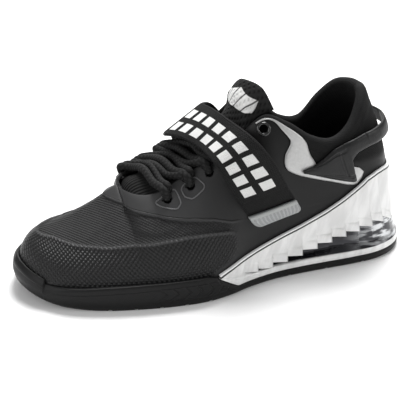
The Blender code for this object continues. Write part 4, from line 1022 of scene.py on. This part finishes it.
quilt.feed("Base Color", quilt.coats(
    (0.003, 0.003, 0.003), (open_mesh * (1 - holes) * 0.6 + ribs * (1 - open_mesh) * 0.3, (0.026, 0.026, 0.026)),
    (fuzz * 0.20, (0.014, 0.014, 0.014)), (patch * slot_line, (0.72, 0.72, 0.71))))
quilt.feed("Roughness", 0.88 - patch * 0.35)
finish_piece(tongue, quilt, "tongue")

# Laces: one thick round braided cord, drawn through four pairs of eyelets in bars over crossed diagonals.
# Each run dips into its holes and follows the tongue's face between them.
LACE = 0.0058
BAR_RAISE = (0.25, 0.30, 0.15, 0.0)
LACED = 4
LACE_SMOOTHING = 45
LACE_POINTS, LACE_SIDES = 90, 20
EDGE_RISE = 0.0015


def tongue_point(row_place, across_share):
    """A point on the tongue's face and its normal, at a table row and a share of the way to its medial edge."""
    i = float(np.interp(row_place, [t[0] for t in TONGUE], np.arange(len(TONGUE))))
    j = across_share * (tongue_controls.shape[1] - 1)
    a, b = min(int(i), len(tongue_controls) - 2), min(int(j), tongue_controls.shape[1] - 2)
    u, v = i - a, j - b
    corners = ((a, b, (1 - u) * (1 - v)), (a + 1, b, u * (1 - v)),
               (a, b + 1, (1 - u) * v), (a + 1, b + 1, u * v))
    face, normal = (sum(grid[i, j] * weight for i, j, weight in corners)
                    for grid in (tongue_controls, tongue_normals))
    return face, normal / np.linalg.norm(normal)


def cord_mesh(name, path, radius):
    """A round cord along a path, domed at both ends."""
    length = arc_lengths(path[:, None], 0)
    ends = np.minimum(length, length[-1] - length) / radius
    girth = radius * np.sqrt(np.clip(1 - (1 - np.clip(ends, 0, 1)) ** 2, 0.06, 1))
    rings = circles(path, np.gradient(path, axis=0), girth[..., None], LACE_SIDES)
    round_it = np.arange(LACE_SIDES)[None]
    caps = [list(range(LACE_SIDES)), [(len(path) - 1) * LACE_SIDES + i for i in range(LACE_SIDES)]]
    return loft(name, rings, around=True, more_faces=caps,
                uv=np.stack([length + 0 * round_it, round_it / LACE_SIDES + 0 * length], -1))


def bar_path(start, end, share, raise_by):
    """A bar's path from one eyelet over the tongue to the other, dipping into both holes."""
    clear = LACE / 2 + FIT_GAP
    high = OVERLAY + clear + 0.0004
    left, right = ([skin_point(r, share, -0.001), skin_point(r, min(1.0, share + 0.05), high),
                    skin_point(r, 1.0, high + EDGE_RISE)] for r in (start, RING - end))
    over = []
    for part in (0.33, 0.41, 0.5, 0.59, 0.67):
        face, normal = tongue_point(start + (end - start) * part, part)
        over.append(face + normal * (clear + raise_by * math.sin(math.pi * part)))
    path = curve_through([*left, *over, *reversed(right)], LACE_POINTS)
    for _ in range(LACE_SMOOTHING):
        path[1:-1] = 0.25 * path[:-2] + 0.5 * path[1:-1] + 0.25 * path[2:]
    return path


braid = Paint("braided lace", (0.006, 0.006, 0.006), 0.75, specular_ior_level=0.2)
u, v, _ = braid.parts(braid.lay())
PLAIT_PITCH = 0.0036
plait = ((u / PLAIT_PITCH + v * 4.0).wave() * (u / PLAIT_PITCH - v * 4.0).wave()) ** 0.6
braid.bump(plait, 0.00022)
braid.bump(braid.noise(1500.0), 0.00005)
braid.feed("Base Color", braid.mix(plait * 0.7, (0.0040, 0.0040, 0.0040), (0.021, 0.021, 0.021)))
cords = [("lace_bar", LACE / 2, (lateral, medial, share, raise_by * LACE))
         for (lateral, medial, share), raise_by in zip(EYELETS[:LACED], BAR_RAISE)]
for low, top in zip(EYELETS[:LACED - 1], EYELETS[1:LACED]):
    for start, end, raise_by in ((low[0] + 0.12, top[1] - 0.12, 0.12), (top[0] - 0.12, low[1] + 0.12, 0.15)):
        cords.append(("lace_diagonal", 0.9 * LACE / 2, (start, end, 0.95, raise_by * LACE)))
for number, (kind, radius, run) in enumerate(cords):
    finish_piece(cord_mesh(f"{kind}_{number}", bar_path(*run), radius), braid, "laces")

# Eyelet rings: glossy moulded rings, heat-set round the empty top holes.
# One stands on each side, square to the cage.
EYELET_RING = 0.0050
RING_THICKNESS = 0.0012
gloss = Paint("glossy black ring", (0.006, 0.006, 0.006), 0.14, coat_weight=0.6, coat_roughness=0.05)
gloss.feed("Roughness", gloss.noise(160.0) * 0.08 + 0.10)
lateral, medial, share = EYELETS[-1]
for name, r in (("eyelet_ring_lateral", lateral), ("eyelet_ring_medial", RING - medial)):
    bpy.ops.object.select_all(action="DESELECT")
    bpy.ops.mesh.primitive_torus_add(major_radius=(EYELET_HOLE + EYELET_RING) / 2,
                                     minor_radius=(EYELET_RING - EYELET_HOLE) / 2,
                                     major_segments=56, minor_segments=18)
    ring = bpy.context.object
    ring.name = name + "_moulded"
    ring.scale = (1, 1, 0.9)
    ring.location = skin_point(r, share, OVERLAY + FIT_GAP + RING_THICKNESS * 0.5)
    ring.rotation_mode = "QUATERNION"
    ring.rotation_quaternion = facing(r, share)
    bpy.ops.object.transform_apply(location=True, rotation=True, scale=True)
    bpy.ops.object.shade_smooth()
    finish_piece(ring, gloss, name)

# Strap: a wide ribbed webbing band, sewn in at the medial feather line and pulled over the lacing. Plain white
# bars are printed along it in two rows, and its lateral end carries the rigid tab.
STRAP = 0.0020
STRAP_PATH = (
    # side (-1 lateral, 1 medial), front_row, front_rise, rear_row, rear_rise, lift
    (-1, 10.00, 0.445, 11.85, 0.485, 0.0000),
    (-1, 9.72, 0.520, 11.48, 0.590, 0.0018),
    (-1, 9.42, 0.610, 11.10, 0.720, 0.0046),
    (-1, 9.20, 0.700, 10.66, 0.846, 0.0104),
    (1, 8.60, 0.665, 10.20, 0.820, 0.0070),
    (1, 9.10, 0.560, 10.75, 0.690, 0.0020),
    (1, 9.55, 0.440, 11.10, 0.550, 0.0004),
    (1, 9.90, 0.340, 11.30, 0.420, 0.0000),
    (1, 10.1, 0.275, 11.40, 0.335, 0.0000),
)
STRAP_CREST = (
    # front_along, front_rise, rear_along, rear_rise, across
    (0.452, 0.790, 0.526, 0.936, -0.13),
    (0.421, 0.795, 0.510, 0.938, 0.03),
    (0.400, 0.752, 0.502, 0.917, 0.19),
)
STRAP_LINES, STRAP_POINTS = 170, 33
BAR_START, BAR_END, BAR_PITCH = 0.0190, 0.1180, 0.0110


def on_upper(r, rise, lift):
    """A point at lift above the upper's proud surface, at a height given as a share of the tab height."""
    return skin_point(r, min(0.985, share_at(r, rise * TAB_HEIGHT)), OVERLAY + FIT_GAP + lift)


def across_band(edges, width):
    """A band's place and rise at a width share, from those of its two edges."""
    front, front_rise, rear, rear_rise = edges
    return front + (rear - front) * width, front_rise + (rear_rise - front_rise) * width


def strap_stations(width):
    """Control points of the strap's underside along its length, at width share 0 (front) to 1 (rear)."""
    stations, crest = [], []
    for side, *edges, lift in STRAP_PATH:
        row, rise = across_band(edges, width)
        stations.append(on_upper(row if side < 0 else RING - row, rise, lift))
    for *edges, across in STRAP_CREST:
        along, rise = across_band(edges, width)
        crest.append(plan_point(along, across, rise))
    middle = sum(1 for station in STRAP_PATH if station[0] < 0)
    return stations[:middle] + crest + stations[middle:]


widths = np.linspace(0, 1, STRAP_POINTS)
strap_under = np.stack([curve_through(strap_stations(w), STRAP_LINES) for w in widths], 1)
strap_normals = face_normals(strap_under)
rolled = np.sqrt(np.clip(1 - np.abs(widths * 2 - 1) ** 22, 0.05, 1))[None] + np.zeros((STRAP_LINES, 1))
strap_depth = STRAP * (0.45 + 0.55 * rolled)
strap_face = strap_under + strap_normals * strap_depth[..., None]
strap = padded_sheet("webbing_strap", strap_face, strap_normals, strap_depth, uv=own_lay(strap_face),
                     notes={"wide": widths[None] + 0 * strap_depth})
webbing = Paint("black webbing", (0.008, 0.008, 0.008), 0.8, specular_ior_level=0.22)
u, v, _ = webbing.parts(webbing.lay())
wide, back = webbing.note("wide"), webbing.note("back")
rib = (u / 0.00125).wave()
twill = ((u + v) / 0.0016).wave() * ((u - v) / 0.0016).wave()
selvage = 1 - webbing.between(wide, 0.045, 0.955, 0.008)
webbing.bump(rib * 0.5 + twill, 0.00028)
webbing.bump(selvage, 0.0004)
webbing.bump(webbing.noise(50.0), 0.0007)
fuzz = webbing.noise(260.0, detail=4.0)
run = webbing.between(u, BAR_START, BAR_END, 0.0003) * (1 - back)
slide = 1 - webbing.rise(abs((u - BAR_START) / BAR_PITCH % 1.0 - 0.5), 0.330, 0.348)
low_row, high_row = (1 - webbing.rise(abs(wide - middle), 0.120, 0.126) for middle in (0.27, 0.66))
bars = (low_row + high_row) * slide * run
webbing.feed("Base Color", webbing.coats(
    (0.004, 0.004, 0.004), (twill * 0.5 + fuzz * 0.3, (0.020, 0.020, 0.020)), (bars * 0.97, (0.74, 0.74, 0.73))))
webbing.feed("Roughness", 0.84 - bars * 0.34)
webbing.bump(bars, 0.00025)
finish_piece(strap, webbing, "strap")

# Strap tab: a rigid satin silver plate welded to the strap's end, pressed with plain ribs for the fingers.
# Its corners are round, and its face falls away to a thin edge.
TAB_THICKNESS = 0.0028
STRAP_TAB = (
    # front_row, front_rise, rear_row, rear_rise
    (10.01, 0.437, 11.86, 0.477),
    (10.10, 0.410, 11.93, 0.450),
    (10.20, 0.387, 11.99, 0.428),
    (10.34, 0.372, 11.97, 0.410),
    (10.50, 0.367, 11.85, 0.398),
)
TAB_WIDTHS = (0, 0.04, 0.2, 0.35, 0.5, 0.65, 0.8, 0.96, 1)
TAB_LINES, TAB_POINTS = 26, 64
tab_controls = np.array([[on_upper(*across_band(edges, w), 0.0) for w in TAB_WIDTHS] for edges in STRAP_TAB])
tab_under = curve_through(tab_controls.transpose(1, 0, 2), TAB_POINTS).transpose(1, 0, 2)
tab_under = curve_through(tab_under, TAB_LINES)
tab_out = np.broadcast_to(last_normals([10.9], np.array([[0.45]]))[0, 0], tab_under.shape)
a, b = np.linspace(-1, 1, TAB_LINES)[:, None], np.linspace(-1, 1, TAB_POINTS)[None]
dome = np.sqrt(np.clip(1 - np.abs(a) ** 14, 0.15, 1)) * np.sqrt(np.clip(1 - np.abs(b) ** 34, 0.15, 1))
tab_depth = TAB_THICKNESS * (0.5 + 0.5 * dome)
tab_face = tab_under + tab_out * tab_depth[..., None]
tab = padded_sheet("silver_tab", tab_face, tab_out, tab_depth, notes={"a": a + 0 * b, "b": b + 0 * a},
                   uv=own_lay(tab_face.transpose(1, 0, 2)).transpose(1, 0, 2))
satin = Paint("satin silver plate", (0.36, 0.36, 0.36), 0.42, 0.35, coat_weight=0.1)
a, b = satin.note("a"), satin.note("b")
field = satin.between(a, -0.62, 0.62, 0.05) * satin.between(b, -0.86, 0.86, 0.02)
grip = (b * 8.0 + a * 0.35).wave() * field
satin.bump(satin.rise(grip, 0.35, 0.65), 0.0006)
satin.bump(satin.noise(700.0), 0.00004)
satin.feed("Base Color", satin.mix(satin.rise(grip, 0.3, 0.7) * 0.5, (0.33, 0.34, 0.34), (0.20, 0.205, 0.21)))
satin.feed("Roughness", 0.36 + satin.noise(90.0) * 0.16)
finish_piece(tab, satin, "strap_tab")

# Quarter films: thin silver ribbons fused on the cage from the top eyelet to the heel loop's foot.
# Each starts as a thin line along the collar's edge and widens as it turns down behind the strap.
FILM = 0.0005
FILM_PATH = (
    # outer_row, outer_rise, inner_row, inner_rise
    (10.68, 0.929, 10.72, 0.920),
    (10.90, 0.949, 10.92, 0.938),
    (11.12, 0.957, 11.12, 0.944),
    (11.42, 0.947, 11.40, 0.928),
    (11.80, 0.911, 11.66, 0.885),
    (12.20, 0.874, 11.90, 0.846),
    (12.50, 0.843, 12.00, 0.820),
    (12.75, 0.800, 11.92, 0.792),
    (12.82, 0.762, 11.66, 0.748),
    (12.90, 0.722, 11.58, 0.700),
    (13.00, 0.695, 11.68, 0.660),
    (13.10, 0.662, 12.10, 0.620),
    (13.30, 0.638, 12.70, 0.585),
    (13.70, 0.612, 13.60, 0.540),
    (14.20, 0.606, 14.35, 0.500),
    (14.55, 0.615, 14.75, 0.530),
    (14.88, 0.598, 15.00, 0.568),
)
FILM_LINES, FILM_POINTS = 100, 9
foil = Paint("silver film", (0.55, 0.55, 0.55), 0.34, 0.45, coat_weight=0.2, coat_roughness=0.2)
speck = foil.noise(520.0, detail=3.0, rough=0.7)
cloud = foil.noise(60.0, detail=3.0)
foil.feed("Base Color", foil.mix(speck * 0.5 + cloud * 0.3, (0.34, 0.34, 0.34), (0.66, 0.66, 0.65)))
foil.feed("Roughness", speck * 0.18 + 0.26)
foil.bump(speck, 0.00008)
foil.bump(cloud, 0.0002)
for side, name in ((-1, "quarter_film_lateral"), (1, "quarter_film_medial")):
    film_places, film_shares = [], []
    for edges in curve_through(FILM_PATH, FILM_LINES):
        for w in np.linspace(0, 1, FILM_POINTS):
            row, rise = across_band(edges, w)
            r = row if side < 0 else RING - row
            film_places.append(r)
            film_shares.append([min(0.99 - 0.014 * w, share_at(r, rise * TAB_HEIGHT))])
    film_shares = np.array(film_shares)
    base, out = (found.reshape(FILM_LINES, FILM_POINTS, 3) for found in (
        skin(film_places, film_shares, np.full(film_shares.shape, OVERLAY + 1.5 * FIT_GAP)),
        last_normals(film_places, film_shares)))
    depth = np.full((FILM_LINES, FILM_POINTS), FILM)
    depth[:, [0, -1]] *= 0.4
    film = padded_sheet(name + "_foil", base + out * depth[..., None], out, depth, uv=own_lay(base))
    finish_piece(film, foil, name)

# Heel loop: a pull band folded over a core, from a stitched triangular foot on each quarter round the heel.
# It stands off behind the heel, and pressed grooves outline its feet.
LOOP_THICKNESS = 0.0026
LOOP = (
    # row, low_rise, high_rise, stand_off
    (12.35, 0.626, 0.642, 0.0),
    (12.90, 0.600, 0.658, 0.0),
    (13.50, 0.568, 0.700, 0.0),
    (14.00, 0.541, 0.748, 0.0),
    (14.40, 0.520, 0.768, 0.0002),
    (14.55, 0.528, 0.774, 0.0003),
    (14.66, 0.660, 0.778, 0.0004),
    (15.00, 0.700, 0.788, 0.0007),
    (15.60, 0.722, 0.805, 0.0012),
    (16.30, 0.730, 0.813, 0.0020),
    (17.00, 0.732, 0.815, 0.0026),
    (18.00, 0.732, 0.815, 0.0030),
)
LOOP_LINES, LOOP_POINTS = 100, 17
loop_table = np.array(LOOP)
spots = np.unique(np.concatenate([np.linspace(LOOP[0][0], LOOP[-1][0], LOOP_LINES), loop_table[:, 0]]))
half_loop = np.stack([spots, *(np.interp(spots, loop_table[:, 0], loop_table[:, k]) for k in (1, 2, 3))], 1)
for column in (1, 2, 3):
    padded = np.pad(half_loop[:, column], 2, mode="edge")
    half_loop[:, column] = np.convolve(padded, (0.1, 0.2, 0.4, 0.2, 0.1), mode="valid")
other = half_loop[-2::-1].copy()
other[:, 0] = RING - other[:, 0]
loop_rows = np.concatenate([half_loop, other])
loop_across = np.linspace(0, 1, LOOP_POINTS)
loop_places = np.repeat(loop_rows[:, 0], LOOP_POINTS)
loop_rises = (loop_rows[:, 1:2] + (loop_rows[:, 2:3] - loop_rows[:, 1:2]) * loop_across[None]).ravel()
loop_shares = np.array([[min(0.985, share_at(r, rise * TAB_HEIGHT))] for r, rise in zip(loop_places, loop_rises)])
bow = np.sqrt(np.clip(1 - np.abs(loop_across * 2 - 1) ** 3.0, 0.05, 1))
base_lift = OVERLAY + FIT_GAP + FILM + 1.5 * FIT_GAP + np.repeat(loop_rows[:, 3], LOOP_POINTS)
base, out = (found.reshape(-1, LOOP_POINTS, 3) for found in (
    skin(loop_places, loop_shares, base_lift[:, None]), last_normals(loop_places, loop_shares)))
loop_depth = LOOP_THICKNESS * (0.2 + 0.8 * bow)[None] + np.zeros((len(loop_rows), 1))
heel_loop = padded_sheet("rolled_heel_loop", base + out * loop_depth[..., None], out, loop_depth, uv=own_lay(base),
                         notes={"row": np.minimum(loop_rows[:, :1], RING - loop_rows[:, :1]) + 0 * loop_depth,
                                "up": loop_across[None] + 0 * loop_depth})
leather = Paint("grey coated band", (0.010, 0.010, 0.010), 0.46, specular_ior_level=0.3)
row, up = leather.note("row"), leather.note("up")
grain = leather.cells(900.0)
foot_part = 1 - leather.rise(row, 14.35, 14.6)
rim_line = leather.between(up, 0.80, 0.88, 0.02) + leather.between(up, 0.12, 0.20, 0.02)
leather.bump(rim_line * foot_part * leather.rise(row, 12.8, 13.0), -0.0006)
leather.bump(leather.between(row, 14.22, 14.30, 0.02) * leather.between(up, 0.16, 0.84, 0.02), -0.0006)
leather.bump(grain, 0.00008)
leather.bump(leather.noise(70.0), 0.0004)
rub = leather.rise(leather.noise(28.0, detail=5.0), 0.45, 0.8)
leather.feed("Base Color", leather.mix(rub * 0.4, (0.006, 0.006, 0.0063), (0.018, 0.018, 0.0186)))
leather.feed("Roughness", rub * 0.12 + grain * 0.10 + 0.36)
finish_piece(heel_loop, leather, "heel_loop")

# Studio: a plain white floor that fades into the background, soft boxes and the camera at the photo's angle.
# The strongest box hangs above and behind the shoe, and three weaker ones fill its sides.
bpy.ops.object.select_all(action="DESELECT")
bpy.ops.mesh.primitive_plane_add(size=8.0, location=(0, 0, 0))
floor = bpy.context.object
floor.name = "floor"
paper = Paint("white paper floor", (0.90, 0.90, 0.90), 0.55)
paper.bump(paper.noise(30.0), 0.0002)
floor.data.materials.append(paper.material)

world = bpy.data.worlds.new("studio")
bpy.context.scene.world = world
world.use_nodes = True
sky = world.node_tree.nodes["Background"]
sky.inputs["Color"].default_value = (1.0, 1.0, 1.0, 1.0)
sky.inputs["Strength"].default_value = 0.40

LIGHTS = (
    # name, place, size, power
    ("top box", (0.25, 0.45, 1.25), 0.6, 24.0),
    ("left box", (-1.1, -0.4, 0.6), 0.7, 5.0),
    ("right box", (1.2, -0.8, 0.7), 0.6, 6.0),
    ("back box", (0.3, 1.2, 0.9), 0.9, 7.0),
)
for name, place, size, power in LIGHTS:
    light = bpy.data.lights.new(name, "AREA")
    light.energy = power
    light.size = size
    lamp = bpy.data.objects.new(name, light)
    bpy.context.scene.collection.objects.link(lamp)
    lamp.location = place
    lamp.rotation_mode = "QUATERNION"
    lamp.rotation_quaternion = (Vector((0, 0, 0.05)) - Vector(place)).to_track_quat("-Z", "Y")

VIEW_AZIMUTH, VIEW_ELEVATION, VIEW_DISTANCE = math.radians(-17.1), math.radians(27.9), 0.8
LENS, SHIFT = 100.08, (-0.01675, -0.03375)
target = Vector((-0.0035, -PLAN_SHIFT[1], 0.06))
back = Vector((math.sin(VIEW_AZIMUTH) * math.cos(VIEW_ELEVATION),
               -math.cos(VIEW_AZIMUTH) * math.cos(VIEW_ELEVATION), math.sin(VIEW_ELEVATION)))
right = Vector((math.cos(VIEW_AZIMUTH), math.sin(VIEW_AZIMUTH), 0.0))
turned = Matrix((right, back.cross(right), back)).transposed().to_4x4()
turned.translation = target + back * VIEW_DISTANCE
lens = bpy.data.cameras.new("camera")
lens.lens = LENS
lens.sensor_width = 36.0
lens.shift_x, lens.shift_y = SHIFT
lens.clip_start = 0.01
camera = bpy.data.objects.new("camera", lens)
bpy.context.scene.collection.objects.link(camera)
camera.matrix_world = turned
bpy.context.scene.camera = camera
bpy.context.scene.view_settings.view_transform = "Standard"
